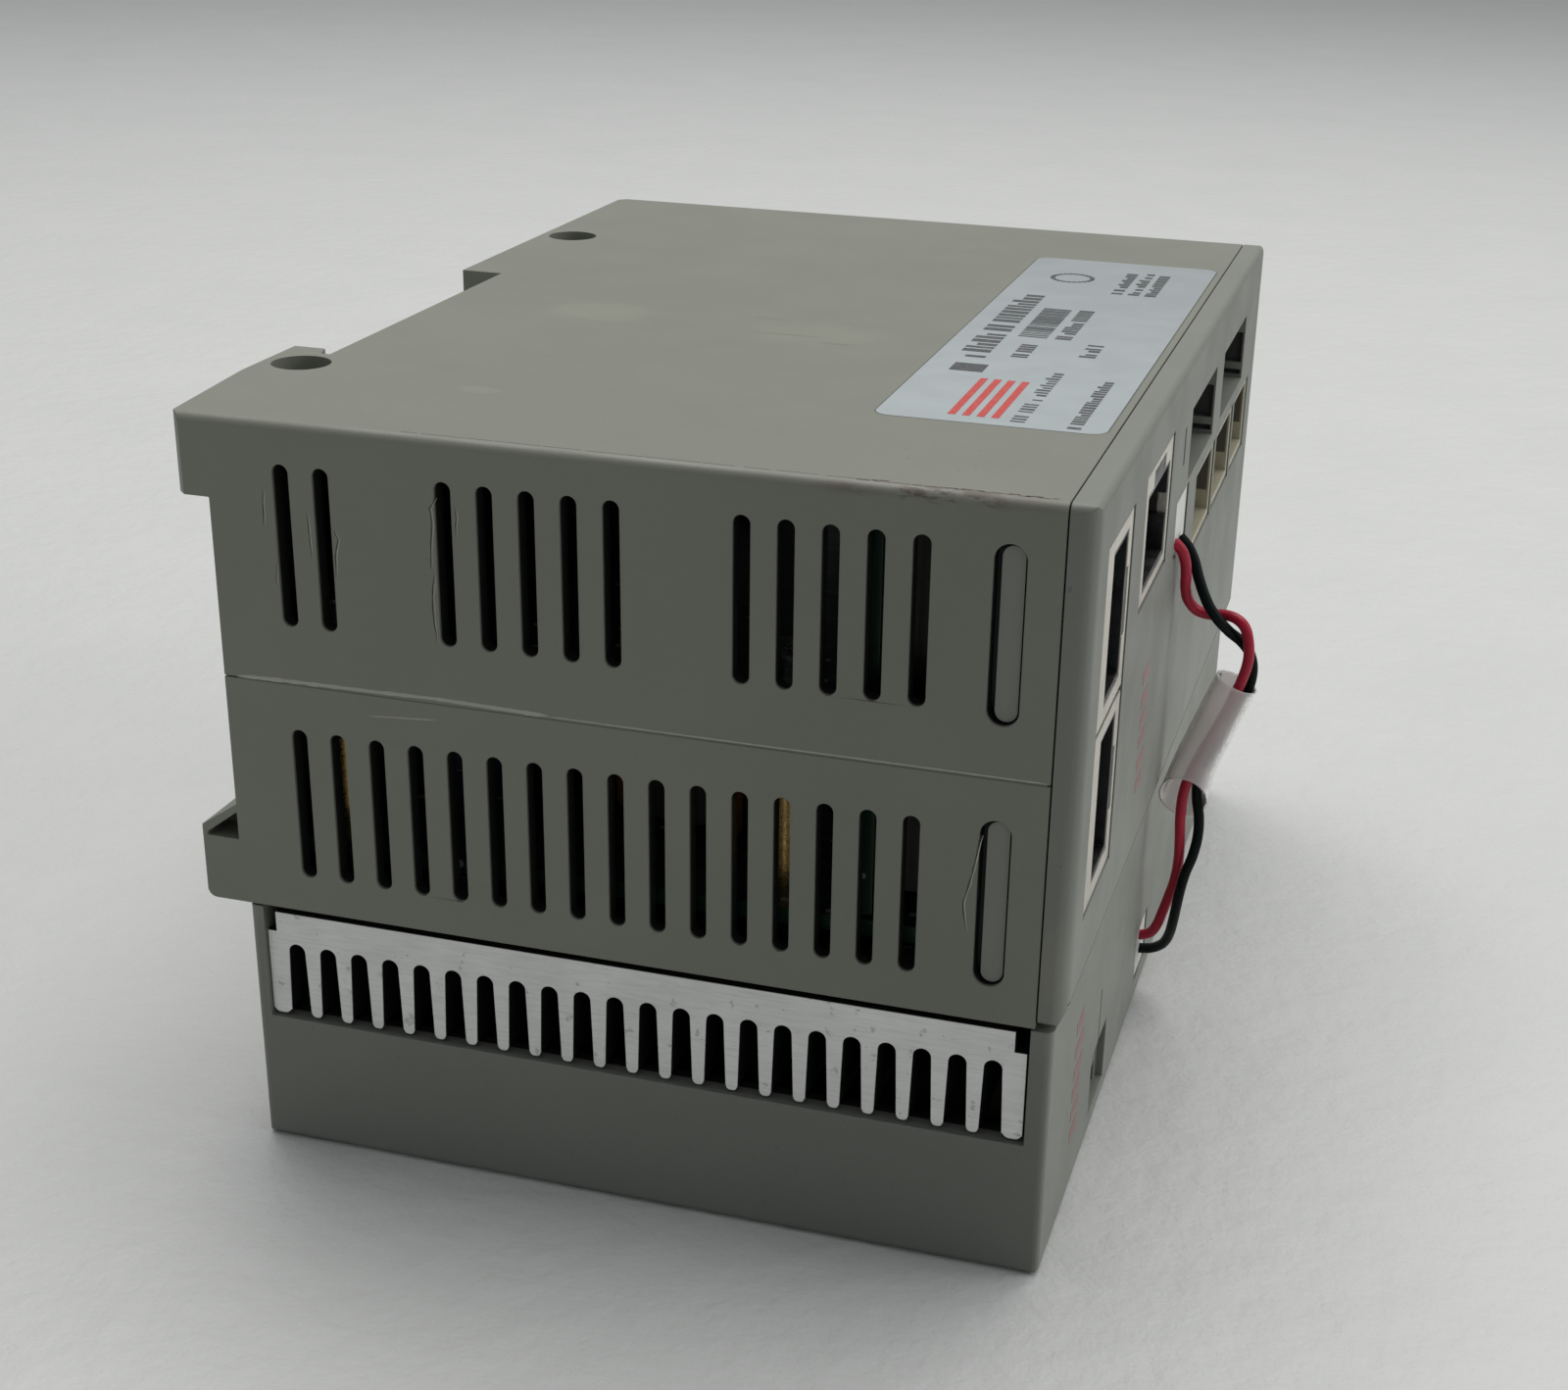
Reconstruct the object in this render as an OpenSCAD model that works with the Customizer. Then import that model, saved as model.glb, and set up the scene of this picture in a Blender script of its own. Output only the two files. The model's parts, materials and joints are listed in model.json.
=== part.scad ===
// Compact servo drive, lying on its heatsink side: +X is the connector panel, -Y the near
// vent wall, +Z the labelled side of the case. A two-part plastic case and a clip-in panel
// hold three boards; a finned heatsink and a fan tray close the underside.

/* [Case] */
// Length of the case along Y
body_l = 112; // [110:1:116]
// Depth from the rear wall to the connector panel
body_d = 77.3; // [76:0.1:80]
// Height from the tray's underside to the labelled face
body_h = 71.3; // [71:0.1:74]
// Thickness of the case walls
wall = 1.8; // [1.6:0.1:2]
// Height at which the lower shell starts
core_z = 25; // [24.8:0.1:25.2]
// Height of the seam between the two shells
seam_z = 47.6; // [46:0.1:49]
// Gap left at the seam between the two shells
seam_gap = 0.12; // [0.1:0.02:0.3]
// Gap left between the shells and the connector panel
panel_gap = 0.15; // [0.1:0.05:0.3]
// Radius of the case's outer edges
edge_r = 0.9; // [0.6:0.1:1.2]
// Radius of the panel's upright edges
panel_r = 1.5; // [0.9:0.1:1.6]
// Thickness of the panel's rim, from the seam to the front
bezel_d = 2.6; // [2.4:0.1:3]

/* [Rear mounting] */
// How far the upper lips stand behind the rear wall
lip_d = 4.6; // [4.4:0.1:4.8]
// Height of the upper lips
lip_h = 7.3; // [6:0.1:8]
// Where the gap between the lips begins, from the near end
notch_y = 25; // [24.5:0.1:25.5]
// Length of the gap between the lips, for a 35 mm rail
notch_l = 38; // [37:0.1:39]
// Distance between the two mounting screws
screw_pitch = 66.5; // [66:0.1:67]
// First mounting screw, from the near end
screw_y = 19.3; // [19:0.1:19.5]
// Diameter of the screwdriver holes
driver_hole = 5.5; // [5.2:0.1:5.6]
// Diameter of the mounting screw holes
screw_hole = 3.4; // [3.2:0.1:3.6]

/* [Vents] */
// Distance between neighbouring slots
slot_pitch = 3.75; // [3.6:0.05:3.8]
// Width of a slot
slot_w = 1.5; // [1.2:0.1:1.8]
// Length of a slot
slot_l = 14.6; // [13:0.1:15]

/* [Heatsink] */
// Distance between neighbouring fins
fin_pitch = 3.16; // [3.1:0.01:3.2]
// Gap between fins at their root
gap_root = 1.65; // [1.4:0.05:1.8]
// Gap between fins at their tips
gap_tip = 2.15; // [1.9:0.05:2.3]
// Number of gaps between fins
gap_count = 22; // [20:1:22]

/* [Fan] */
// Side of the square fan frame
fan_side = 50; // [48:1:50]
// Thickness of the fan
fan_t = 10; // [9.8:0.1:10.2]
// Number of blades
blade_count = 7; // [5:1:9]

/* [Hidden] */
$fn = 48;
eps = 0.01;
big = 200;

// Case
bezel_x = body_d - bezel_d;         // seam between the shells and the panel
panel_t = 1.8;                      // thickness of the connector panel
panel_in = body_d - panel_t;        // the panel's inner face
bezel_z = core_z + 0.3;             // lower edge of the panel
foot_d = 0.85;                      // the panel's foot slopes in by this much
foot_h = 1.8;
groove_z = bezel_z + foot_h + 0.1;  // a fine groove along the top of the foot
groove_w = 0.16;
groove_d = 0.15;
lip_z = body_h - lip_h;
lug_d = 3.7;                        // lower lugs stand out this far
lug_z = core_z + 7.4;
lug_r = 0.9;                        // rounds the lugs' lower corner
lug_pocket = 3.4;                   // depth of the pocket in the near lug
hole_x = -0.9;                      // mounting holes straddle the rear wall
hole_ys = [screw_y, screw_y + screw_pitch];
seat_z = core_z + 3;                // screw heads sit here in the lower lugs
column_r = driver_hole / 2 + 1.4;
floor_t = 1.6;
window = [2.7, 15.4];               // snap windows in the vent walls
window_x = 70.4;
window_zs = [52.2, 28.4];
slot_x = 7;
slot_z_up = 53;
slot_z_low = 28.6;
slots_up = [0, 1, 4, 5, 6, 7, 8, 11, 12, 13, 14, 15];
slots_low = [for (i = [0:15]) i];
label_low = [53.3, 20.5];
label_size = [20.7, 74];
label_t = 0.15;

// Tray and heatsink
tray_x0 = 0.4;
tray_x1 = body_d - 0.95;
tray_back = 1.5;
tray_front = 2;
tray_end = 1.6;
tray_h = core_z - 0.2;
tray_sill = 13.3;                   // lower edge of the open ends
sink_x0 = 2;
sink_x1 = 74.1;
sink_in = 0.4;                      // the extrusion ends just inside the case
sink_top = core_z - 0.8;
sink_root = 21.1;
fin_tip = 13.6;
gap_x0 = (sink_x0 + sink_x1) / 2 - (gap_count - 1) / 2 * fin_pitch;
sink_screws = [[20, 8], [62, 8], [20, body_l - 8], [62, body_l - 8]];

// Fan
fan_at = [38, body_l / 2];
fan_z = 1.8;
duct_r = fan_side / 2 - 1.5;
hub_r = 12.5;
fan_hole = 20;
shaft_r = 1;
bearing_r = 1.8;

// Boards
board_t = 1.6;
power_z = 29.4;
control_z = 49.8;
io_x = 57.5;
io_front = io_x + board_t;
module_low = [16, 34];
module_size = [42, 44, 4.3];
pad_t = 0.5;
post_at = [[7, 10], [50, 10], [7, body_l - 10], [50, body_l - 10]];
cap_at = [[14, 24], [14, 42], [14, 60], [14, 78]];
cap_r = 8;
cap_h = 17.5;

// Panel openings, as [low y, low z, high y, high z]
pair_cut = [5.2, 33.1, 18.4, 66.4];
single_cut = [24.8, 54, 41, 66.8];
jack_out = [[5.5, 50, 18.1, 66.1], [5.5, 33.4, 18.1, 49.5], [25.1, 54.3, 40.7, 66.5]];
jack_in = [[8.9, 51.3, 16.6, 64.8], [8.9, 34.8, 16.6, 48.3], [26.9, 55.2, 39.9, 64.4]];
jack_key = [[16.6, 55, 17.6, 61.2], [16.6, 38.5, 17.6, 44.7], [29.8, 64.4, 37, 65.9]];
jack_x1 = body_d - 0.1;
jack_deep = 10;
shield_slot = [59.1, 61.2];         // the single jack's shield shows here, at the far side
header_out = [[53.4, 58.5, 71.8, 65.8], [78, 58.5, 97.6, 65.8],
              [61.4, 48.4, 75.9, 57], [77.1, 48.4, 91.6, 57], [92.8, 48.4, 105.6, 57]];
header_pins = [5, 5, 4, 4, 3];
header_recess = [2.8, 2.8, 0.15, 0.15, 0.15];
header_deep = 8;
upper_headers = 2;                  // the first two are the upper row
fan_cut_up = [46.8, 52.1, 55.2, 58];
fan_cut_low = [51.4, 2.6, 58.6, 8.6];
slit = [48.8, 61.2, 49.6, 65];

plug_inset = 0.15;                  // the plugs end just inside the panel's and the tray's faces

// The fan's two wires, from the panel's plug to the tray's plug
wire_d = 1.1;
red_route = [[77.15, 48.6, 53.6], [77.9, 48.8, 52.7], [78.3, 49.2, 51.4], [78.4, 49.7, 50],
             [78.4, 50.3, 48.5], [78.7, 50.9, 47], [79.6, 51.5, 45.8], [81, 51.8, 45.4],
             [82.4, 51.6, 45.6], [83.7, 51, 45.5], [84.7, 50.5, 44.7], [85.2, 50.3, 42.8],
             [85.2, 50.3, 41.2], [84.8, 50.3, 39.4], [84, 50.3, 37], [82.9, 50.3, 34.2],
             [81.7, 50.3, 31.4], [80.6, 50.3, 28.7], [80, 50.3, 26.1], [79.9, 50.5, 23.4],
             [80, 50.9, 20.7], [80, 51.5, 18], [79.7, 52.2, 15.3], [79.1, 52.9, 12.7],
             [78.5, 53.5, 10.4], [78.1, 53.8, 9], [77.4, 54.2, 7.7], [76.2, 54.5, 7]];
black_route = [[77.15, 52.1, 53.1], [78.1, 51.9, 52.2], [78.9, 51.4, 51], [79.5, 50.8, 49.6],
               [80.2, 50.2, 48.2], [81, 49.9, 46.8], [82, 50, 45.5], [83.1, 50.7, 44.2],
               [84.2, 51.5, 43.1], [85.1, 51.9, 41.9], [85.6, 51.9, 40.3], [85.5, 51.9, 38.4],
               [84.8, 51.9, 36.1], [83.7, 51.9, 33.5], [82.6, 51.9, 31], [81.6, 51.9, 28.7],
               [81.2, 51.9, 26.9], [81.3, 51.8, 25.1], [81.7, 51.5, 23.2], [81.8, 51.1, 21.2],
               [81.5, 50.7, 19.1], [80.9, 50.5, 17], [80.5, 50.7, 14.8], [80.2, 51.3, 12.5],
               [79.9, 52.2, 10.3], [79.5, 53.3, 8.2], [78.8, 54.3, 6.5], [77.6, 55, 5.4],
               [76.2, 55.3, 5]];
sleeve_route = [[84.3, 51.1, 38.8], [82.9, 51.1, 35.2], [81.6, 51.1, 31.7], [80.6, 51.1, 28.4],
                [79.9, 51.1, 25.4]];

// ---- helpers ----

// The model's origin is the middle of its footprint, on the surface it lies on.
module place() translate([-(body_d - lip_d) / 2, -body_l / 2, 0]) children();

// A box from its low corner to its high corner.
module span(low, high) translate(low) cube(high - low);

// A box through the panel from [low y, low z, high y, high z], between two x values.
module panel_box(x0, x1, r, grow = 0)
    span([x0, r[0] - grow, r[1] - grow], [x1, r[2] + grow, r[3] + grow]);

// Extrusions of a flat outline: (y, z) along X, (x, z) along Y and (x, y) along Z.
module along_x(x0, x1) translate([x0, 0, 0]) rotate([90, 0, 90]) linear_extrude(x1 - x0) children();
module along_y(y0, y1) translate([0, y1, 0]) rotate([90, 0, 0]) linear_extrude(y1 - y0) children();
module along_z(z0, z1) translate([0, 0, z0]) linear_extrude(z1 - z0) children();

// A rectangle from corner to corner with round corners of radius r.
module outline(x0, y0, x1, y1, r) {
    translate([x0 + r, y0]) square([x1 - x0 - 2 * r, y1 - y0]);
    translate([x0, y0 + r]) square([x1 - x0, y1 - y0 - 2 * r]);
    for (x = [x0 + r, x1 - r], y = [y0 + r, y1 - r]) translate([x, y]) circle(r);
}

// An upright slot with round ends, its low end's middle at the origin.
module slot(w, l) {
    translate([-w / 2, w / 2]) square([w, l - w]);
    for (y = [w / 2, l - w / 2]) translate([0, y]) circle(w / 2);
}

module rod(at, r, z0, z1) translate([at[0], at[1], z0]) cylinder(r = r, h = z1 - z0);

// ---- case ----

// Seen from above: the rear lips, with a tapered near corner and the rail gap between them.
module lip_plan()
    polygon([[bezel_x, 0], [-2.4, 0], [-3.2, 0.8], [-lip_d, 15], [-lip_d, notch_y], [-1.4, notch_y],
             [-0.9, notch_y - 1.8], [0, notch_y - 1.8], [0, notch_y + notch_l], [-lip_d, notch_y + notch_l],
             [-lip_d, body_l - 1.6], [-3, body_l], [bezel_x, body_l]]);

// The two vent walls are cut by the same slots and snap windows.
module vent_cuts(z, slots, window_z) along_y(-1, body_l + 1) {
    for (i = slots) translate([slot_x + i * slot_pitch, z]) slot(slot_w, slot_l);
    translate([window_x, window_z]) slot(window[0], window[1]);
}

// Inside the rear wall, a half column closes each screwdriver channel.
module screw_columns(z0, z1) intersection() {
    for (y = hole_ys) rod([hole_x, y], column_r, z0, z1);
    span([eps, 0, z0], [big, body_l, z1]);
}

module upper_shell() color("#8b8c86") place() difference() {
    union() {
        difference() {
            intersection() {
                along_x(-lip_d, bezel_x) outline(0, -big, body_l, body_h, edge_r);
                union() {
                    along_z(lip_z, body_h) lip_plan();
                    span([0, 0, seam_z], [bezel_x, body_l, lip_z + eps]);
                }
            }
            span([wall, wall, seam_z - 1], [bezel_x + 1, body_l - wall, body_h - wall]);
        }
        screw_columns(seam_z, body_h - 1);
    }
    for (y = hole_ys) rod([hole_x, y], driver_hole / 2, seam_z - 1, body_h + 1);
    vent_cuts(slot_z_up, slots_up, window_zs[0]);
    translate([label_low[0], label_low[1], body_h - label_t]) along_z(0, 1)
        outline(0, 0, label_size[0], label_size[1], 1.6);
}

// Lower lug, as seen along Y.
module lug_outline() {
    polygon([[eps, core_z], [lug_r - lug_d, core_z], [-lug_d, core_z + lug_r],
             [-lug_d, lug_z], [eps, lug_z + 2.5]]);
    translate([lug_r - lug_d, core_z + lug_r]) circle(lug_r);
}

// The pocket under the near lug's sloping roof.
module lug_pocket_outline()
    polygon([[-lug_d + 0.5, lug_z - 1], [-eps, lug_z - 1], [-eps, lug_z + 1.7], [-lug_d + 0.5, lug_z - 0.7]]);

module lower_shell() color("#8b8c86") place() difference() {
    union() {
        difference() {
            span([0, 0, core_z], [bezel_x, body_l, seam_z - seam_gap]);
            span([wall, wall, core_z + floor_t], [bezel_x + 1, body_l - wall, big]);
            span([14, 32, core_z - 1], [60, 80, core_z + floor_t + 1]);
        }
        along_y(0, notch_y) lug_outline();
        along_y(notch_y + notch_l, body_l) lug_outline();
        screw_columns(core_z, seam_z - seam_gap);
        seam_tongue();
        for (p = sink_screws) rod(p, 3.5, sink_top, core_z + floor_t);
        for (p = post_at) rod(p, 3, core_z, power_z);
    }
    for (y = hole_ys) {
        rod([hole_x, y], screw_hole / 2, core_z - 1, seat_z + 1);
        rod([hole_x, y], driver_hole / 2, seat_z, seam_z + 3);
        span([-big, y - driver_hole / 2, seat_z], [hole_x, y + driver_hole / 2, seam_z]);
    }
    for (p = sink_screws) rod(p, 1.7, 0, core_z + floor_t + 1);
    for (p = post_at) rod(p, 1.3, core_z + 1, power_z + 1);
    along_y(-1, lug_pocket) lug_pocket_outline();
    vent_cuts(slot_z_low, slots_low, window_zs[1]);
}

// A thin tongue inside the seam keeps light out and lines the shells up.
module seam_tongue() difference() {
    t = 0.9;
    span([wall + 0.1, wall + 0.1, seam_z - 3], [bezel_x - 8, body_l - wall - 0.1, seam_z + 1.6]);
    span([wall + 0.1 + t, wall + 0.1 + t, 0], [big, body_l - wall - 0.1 - t, big]);
    for (y = hole_ys) span([0, y - column_r - 0.3, seam_z - seam_gap], [wall + 2, y + column_r + 0.3, big]);
    for (y = [wall, body_l - wall - 0.1 - t - eps])
        span([0, y, 0], [wall + 0.1 + eps, y + t + 0.2, seam_z - 4]);
}

// ---- connector panel ----

// Snap arm behind one window: a leaf against the wall with a boss that fills the window.
module snap_arm(near, z) {
    y = near ? [0.5, wall + 0.15, wall + 1.2] : [body_l - 0.5, body_l - wall - 0.15, body_l - wall - 1.2];
    along_y(min(y[1], y[2]), max(y[1], y[2]))
        translate([window_x - 2.4, z + 0.6]) square([panel_in - window_x + 2.5, window[1] - 1.2]);
    along_y(min(y[0], y[1]) - (near ? 0 : eps), max(y[0], y[1]) + (near ? eps : 0))
        translate([window_x + 0.2, z + 0.25]) slot(window[0] - 0.8, window[1] - 0.5);
}

// Short collar behind each header's opening.
module header_collar(r) difference() {
    panel_box(panel_in - 3, panel_in + eps, r, 1);
    panel_box(0, big, r);
}

// Two latch pockets in the far side wall of an upper opening, hidden from the front.
module latch_pockets(r) for (z = [[60.3, 63.8], [r[1] + 0.4, r[1] + 1]])
    panel_box(panel_in - 4, body_d - 0.3, [r[2] - eps, z[0], r[2] + 0.7, z[1]]);

// The panel's foot slopes in towards the tray.
module panel_foot() along_y(-1, body_l + 1)
    polygon([[body_d, bezel_z + foot_h], [body_d - foot_d, bezel_z], [body_d - foot_d, bezel_z - 1],
             [body_d + 1, bezel_z - 1], [body_d + 1, bezel_z + foot_h]]);

module front_bezel() color("#7d8079") place() {
    x0 = bezel_x + panel_gap;
    difference() {
        intersection() {
            along_x(x0, body_d) outline(0, bezel_z, body_l, body_h, edge_r);
            along_y(0, body_l) outline(0, bezel_z, body_d, body_h, edge_r);
            along_z(0, big) outline(0, 0, body_d, body_l, panel_r);
        }
        span([0, wall, bezel_z + wall], [panel_in, body_l - wall, body_h - wall]);
        for (r = [pair_cut, single_cut, fan_cut_up, slit]) panel_box(0, big, r);
        for (r = header_out) panel_box(0, big, r);
        for (i = [0:upper_headers - 1]) latch_pockets(header_out[i]);
        panel_foot();
        span([body_d - groove_d, -1, groove_z], [big, body_l + 1, groove_z + groove_w]);
    }
    for (z = window_zs, near = [true, false]) snap_arm(near, z);
    difference() {
        for (r = header_out) header_collar(r);
        for (i = [0:upper_headers - 1]) latch_pockets(header_out[i]);
    }
}

// ---- fan tray and heatsink ----

module fan_grille() difference() {
    circle(duct_r);
    for (r = [5, 10, 15, 20]) difference() {
        circle(r + 2.6);
        circle(r);
    }
}

module fan_grille_bars() for (a = [0:60:120]) rotate(a) square([2 * duct_r + 1, 1.6], center = true);

module base_cover() color("#7d8079") place() difference() {
    union() {
        difference() {
            intersection() {
                along_x(tray_x0, tray_x1) outline(0, 0, body_l, tray_h + 5, edge_r);
                along_y(0, body_l) outline(tray_x0, 0, tray_x1, tray_h + 5, edge_r);
                along_z(0, tray_h) outline(tray_x0, 0, tray_x1, body_l, edge_r);
            }
            span([tray_x0 + tray_back, tray_end, floor_t], [tray_x1 - tray_front, body_l - tray_end, big]);
            span([tray_x0 + tray_back, -1, tray_sill], [tray_x1 - tray_front, body_l + 1, big]);
            translate([fan_at[0], fan_at[1], -1]) cylinder(r = duct_r, h = floor_t + 2);
        }
        translate([fan_at[0], fan_at[1], 0]) linear_extrude(floor_t) {
            fan_grille();
            fan_grille_bars();
        }
        for (y = [tray_end - eps, body_l - 2.8])
            span([tray_x0 + tray_back - eps, y, tray_sill - 1.2],
                 [tray_x1 - tray_front + eps, y + 1.2 + eps, tray_sill]);
        for (x = [-1, 1], y = [-1, 1])
            rod([fan_at[0] + x * fan_hole, fan_at[1] + y * fan_hole], 3, 0, fan_z);
    }
    for (x = [-1, 1], y = [-1, 1])
        rod([fan_at[0] + x * fan_hole, fan_at[1] + y * fan_hole], 1.2, 0.6, fan_z + 1);
    for (y = hole_ys) rod([hole_x, y], 2.2, -1, big);
    tray_snap_cuts();
    panel_box(tray_x1 - 3, big, fan_cut_low);
}

// The tray's spring catch: two windows with a step between them, and a relief slit above.
module tray_snap_cuts() {
    x0 = tray_x1 - tray_front - 1;
    panel_box(x0, big, [25.3, 5.8, 32.3, 8.9]);
    panel_box(x0, big, [23.9, 2.1, 31.3, 4.4]);
    panel_box(tray_x1 - 0.8, big, [23.9, 2.1, 32.3, 8.9]);
    panel_box(x0, big, [27.3, 8.8, 27.8, 14.6]);
}

// One gap between fins, as seen along Y: round at the root, wider at the tips.
module fin_gap() {
    polygon([[-gap_root / 2, sink_root - gap_root / 2], [gap_root / 2, sink_root - gap_root / 2],
             [gap_tip / 2, fin_tip - 1], [-gap_tip / 2, fin_tip - 1]]);
    translate([0, sink_root - gap_root / 2]) circle(gap_root / 2);
}

module heatsink() color("#a6a8a6") place() difference() {
    along_y(sink_in, body_l - sink_in) difference() {
        union() {
            translate([sink_x0, fin_tip + 0.4]) square([sink_x1 - sink_x0, sink_top - fin_tip - 3.2 + 0.8]);
            translate([sink_x0 + 0.9, sink_top - 4]) square([sink_x1 - sink_x0 - 2, 4]);
            for (i = [0:gap_count]) fin_end(i);
        }
        for (i = [0:gap_count - 1]) translate([gap_x0 + i * fin_pitch, 0]) fin_gap();
    }
    for (p = sink_screws) rod(p, 1.25, sink_root + 0.6, big);
}

// Rounded tip of fin i, counted from the rear; the two outer fins are wide.
module fin_end(i) {
    low = i == 0 ? sink_x0 : gap_x0 + (i - 1) * fin_pitch + gap_tip / 2;
    high = i == gap_count ? sink_x1 : gap_x0 + i * fin_pitch - gap_tip / 2;
    outline(low, fin_tip, high, fin_tip + 2, (i == 0 || i == gap_count) ? 0.7 : 0.4);
}

module rating_label() color("#d5d8d8") place()
    translate([label_low[0] + 0.1, label_low[1] + 0.1, body_h - label_t])
        linear_extrude(label_t) outline(0, 0, label_size[0] - 0.2, label_size[1] - 0.2, 1.5);

// ---- boards and what is on them ----

module power_board() color("#2f6b45") place() difference() {
    span([3, 3.6, power_z], [72, body_l - 3.6, power_z + board_t]);
    for (p = post_at) rod(p, 1.6, 0, big);
    for (y = hole_ys) rod([hole_x, y], column_r + 0.4, 0, big);
}

module control_board() color("#2f6b45") place() difference() {
    span([4.2, 4, control_z], [io_x - 0.4, body_l - 4, control_z + board_t]);
    for (p = post_at) rod(p, 1.6, 0, big);
}

module io_board() color("#2f6b45") place()
    span([io_x, 4, power_z + board_t + 0.3], [io_front, body_l - 4, 68]);

module power_module() color("#26282b") place() difference() {
    span([module_low[0], module_low[1], sink_top + pad_t],
         [module_low[0] + module_size[0], module_low[1] + module_size[1], sink_top + pad_t + module_size[2]]);
    for (y = [3, module_size[1] - 3])
        rod([module_low[0] + module_size[0] / 2, module_low[1] + y], 1.7, 0, big);
}

module thermal_pad() color("#9fb3c8") place() difference() {
    span([module_low[0], module_low[1], sink_top],
         [module_low[0] + module_size[0], module_low[1] + module_size[1], sink_top + pad_t]);
    for (y = [3, module_size[1] - 3])
        rod([module_low[0] + module_size[0] / 2, module_low[1] + y], 1.7, 0, big);
}

module capacitor(i) color("#23304a") place() translate([cap_at[i][0], cap_at[i][1], power_z + board_t])
    difference() {
        cylinder(r = cap_r, h = cap_h);
        translate([0, 0, 2.4]) difference() {
            cylinder(r = cap_r + 1, h = 0.8);
            translate([0, 0, -1]) cylinder(r = cap_r - 0.4, h = 3);
        }
    }

choke_at = [38, 24, power_z + board_t + 4.5];
module choke_core() color("#4d5a3a") place() translate(choke_at)
    rotate_extrude() translate([7, 0]) square([3.4, 7], center = true);

module choke_winding() color("#b5692f") place() translate(choke_at) for (a = [0:30:330]) rotate(a)
    translate([7, 0, 0]) rotate([90, 0, 0]) difference() {
        translate([0, 0, -0.6]) linear_extrude(1.2) outline(-2.7, -4.5, 2.7, 4.5, 0.8);
        translate([-1.8, -3.6, -1]) cube([3.6, 7.2, 2]);
    }

module transformer() color("#d9cf9f") place() {
    at = [40, 62, power_z + board_t];
    translate(at) difference() {
        cube([16, 18, 13]);
        translate([-1, 4, 3]) cube([18, 10, 7]);
    }
    translate(at + [-0.5, 4.6, 3.6]) cube([17, 8.8, 5.8]);
}

module relay() color("#2b2d30") place() span([30, 88, power_z + board_t], [42, 103, power_z + board_t + 12]);

module fuse() color("#d8d4c4") place() translate([62, 92, power_z + board_t + 3]) rotate([90, 0, 0])
    cylinder(r = 2.6, h = 14);

module processor() color("#202225") place()
    span([22, 50, control_z + board_t], [34, 62, control_z + board_t + 1.2]);

module board_link() color("#1d1f22") place()
    span([io_x - 6, 30, control_z + board_t], [io_x, 72, control_z + board_t + 5]);

// Spacers stand on the lower shell's posts, above the power board.
module board_posts() color("#b9a25a") place() for (p = post_at) difference() {
    union() {
        rod(p, 2.6, power_z + board_t, control_z);
        rod(p, 1.2, power_z - 3, power_z + board_t + eps);
    }
    rod(p, 1.25, control_z - 6, control_z + 1);
}

module board_screws() color("#b8bac0") place() for (p = post_at) {
    rod(p, 1.2, control_z - 4, control_z + board_t);
    rod(p, 2.6, control_z + board_t, control_z + board_t + 1.6);
}

module heatsink_screws() color("#b8bac0") place() for (p = sink_screws) {
    rod(p, 1.2, sink_root + 0.8, core_z + floor_t);
    rod(p, 2.8, core_z + floor_t, core_z + floor_t + 1.6);
}

// ---- jacks, headers and lamp ----

module jack_shell(i) color("#d2cdbd") place() difference() {
    panel_box(io_front, jack_x1, jack_out[i]);
    panel_box(io_front + 3, big, jack_in[i]);
    panel_box(io_front + 3, big, jack_key[i]);
}

// Black insert, a lining inside the shell's hollow.
module jack_insert(i) color("#17181a") place() difference() {
    union() {
        panel_box(io_front + 3, jack_x1 - 0.1, jack_in[i]);
        panel_box(io_front + 3, jack_x1 - 0.1, jack_key[i]);
    }
    panel_box(jack_x1 - jack_deep, big, jack_in[i], -0.5);
    if (i == 2) span([jack_x1 - jack_deep, jack_in[i][2] - 1, shield_slot[0]], [big, big, shield_slot[1]]);
}

// Eight spring contacts in each jack.
module jack_contacts() color("#d7b45a") place() for (i = [0:2]) {
    r = jack_in[i];
    sideways = i < 2;
    n = 8;
    for (k = [0:n - 1]) {
        step = 1.02 * (k - (n - 1) / 2);
        mid_y = (r[0] + r[2]) / 2;
        mid_z = (r[1] + r[3]) / 2;
        if (sideways) span([jack_x1 - jack_deep, r[0] + 0.8, mid_z + step - 0.2],
                           [jack_x1 - 3, r[0] + 1.3, mid_z + step + 0.2]);
        else span([jack_x1 - jack_deep, mid_y + step - 0.2, r[1] + 0.8],
                  [jack_x1 - 3, mid_y + step + 0.2, r[1] + 1.3]);
    }
}

module header(i) color(i < upper_headers ? "#5d665f" : "#cfc8a8") place() {
    r = header_out[i];
    x1 = body_d - header_recess[i];
    difference() {
        panel_box(io_front, x1, r, -0.15);
        panel_box(x1 - header_deep, big, header_hollow(i));
        if (i < upper_headers) panel_box(x1 - 3, big, latch_recess(i));
    }
}

// The upper row's thick lower wall holds a latch recess.
function header_hollow(i) = let (r = header_out[i], t = i < upper_headers ? 2.3 : 0.9)
    [r[0] + 1, r[1] + t, r[2] - 1, r[3] - 0.7];
function latch_recess(i) = let (r = header_out[i]) [r[0] + 1.4, r[1] + 0.5, r[2] - 1.4, r[1] + 1.7];

module header_pins() color("#c9cbce") place() for (i = [0:len(header_out) - 1]) {
    r = header_hollow(i);
    n = header_pins[i];
    pitch = (r[2] - r[0]) / n;
    z = (r[1] + r[3]) / 2;
    for (k = [0:n - 1]) {
        y = r[0] + pitch * (k + 0.5);
        x0 = body_d - header_recess[i] - header_deep;
        span([x0, y - 0.5, z - 0.5], [x0 + 6, y + 0.5, z + 0.5]);
    }
}

module status_lamp() color("#c9e7b0") place() span([io_front, 48.4, 62.2], [io_front + 2, 50, 64]);

module light_pipe() color("#4a504d") place() panel_box(io_front + 2.2, body_d - 0.5, slit, -0.1);

// ---- fan leads ----

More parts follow.
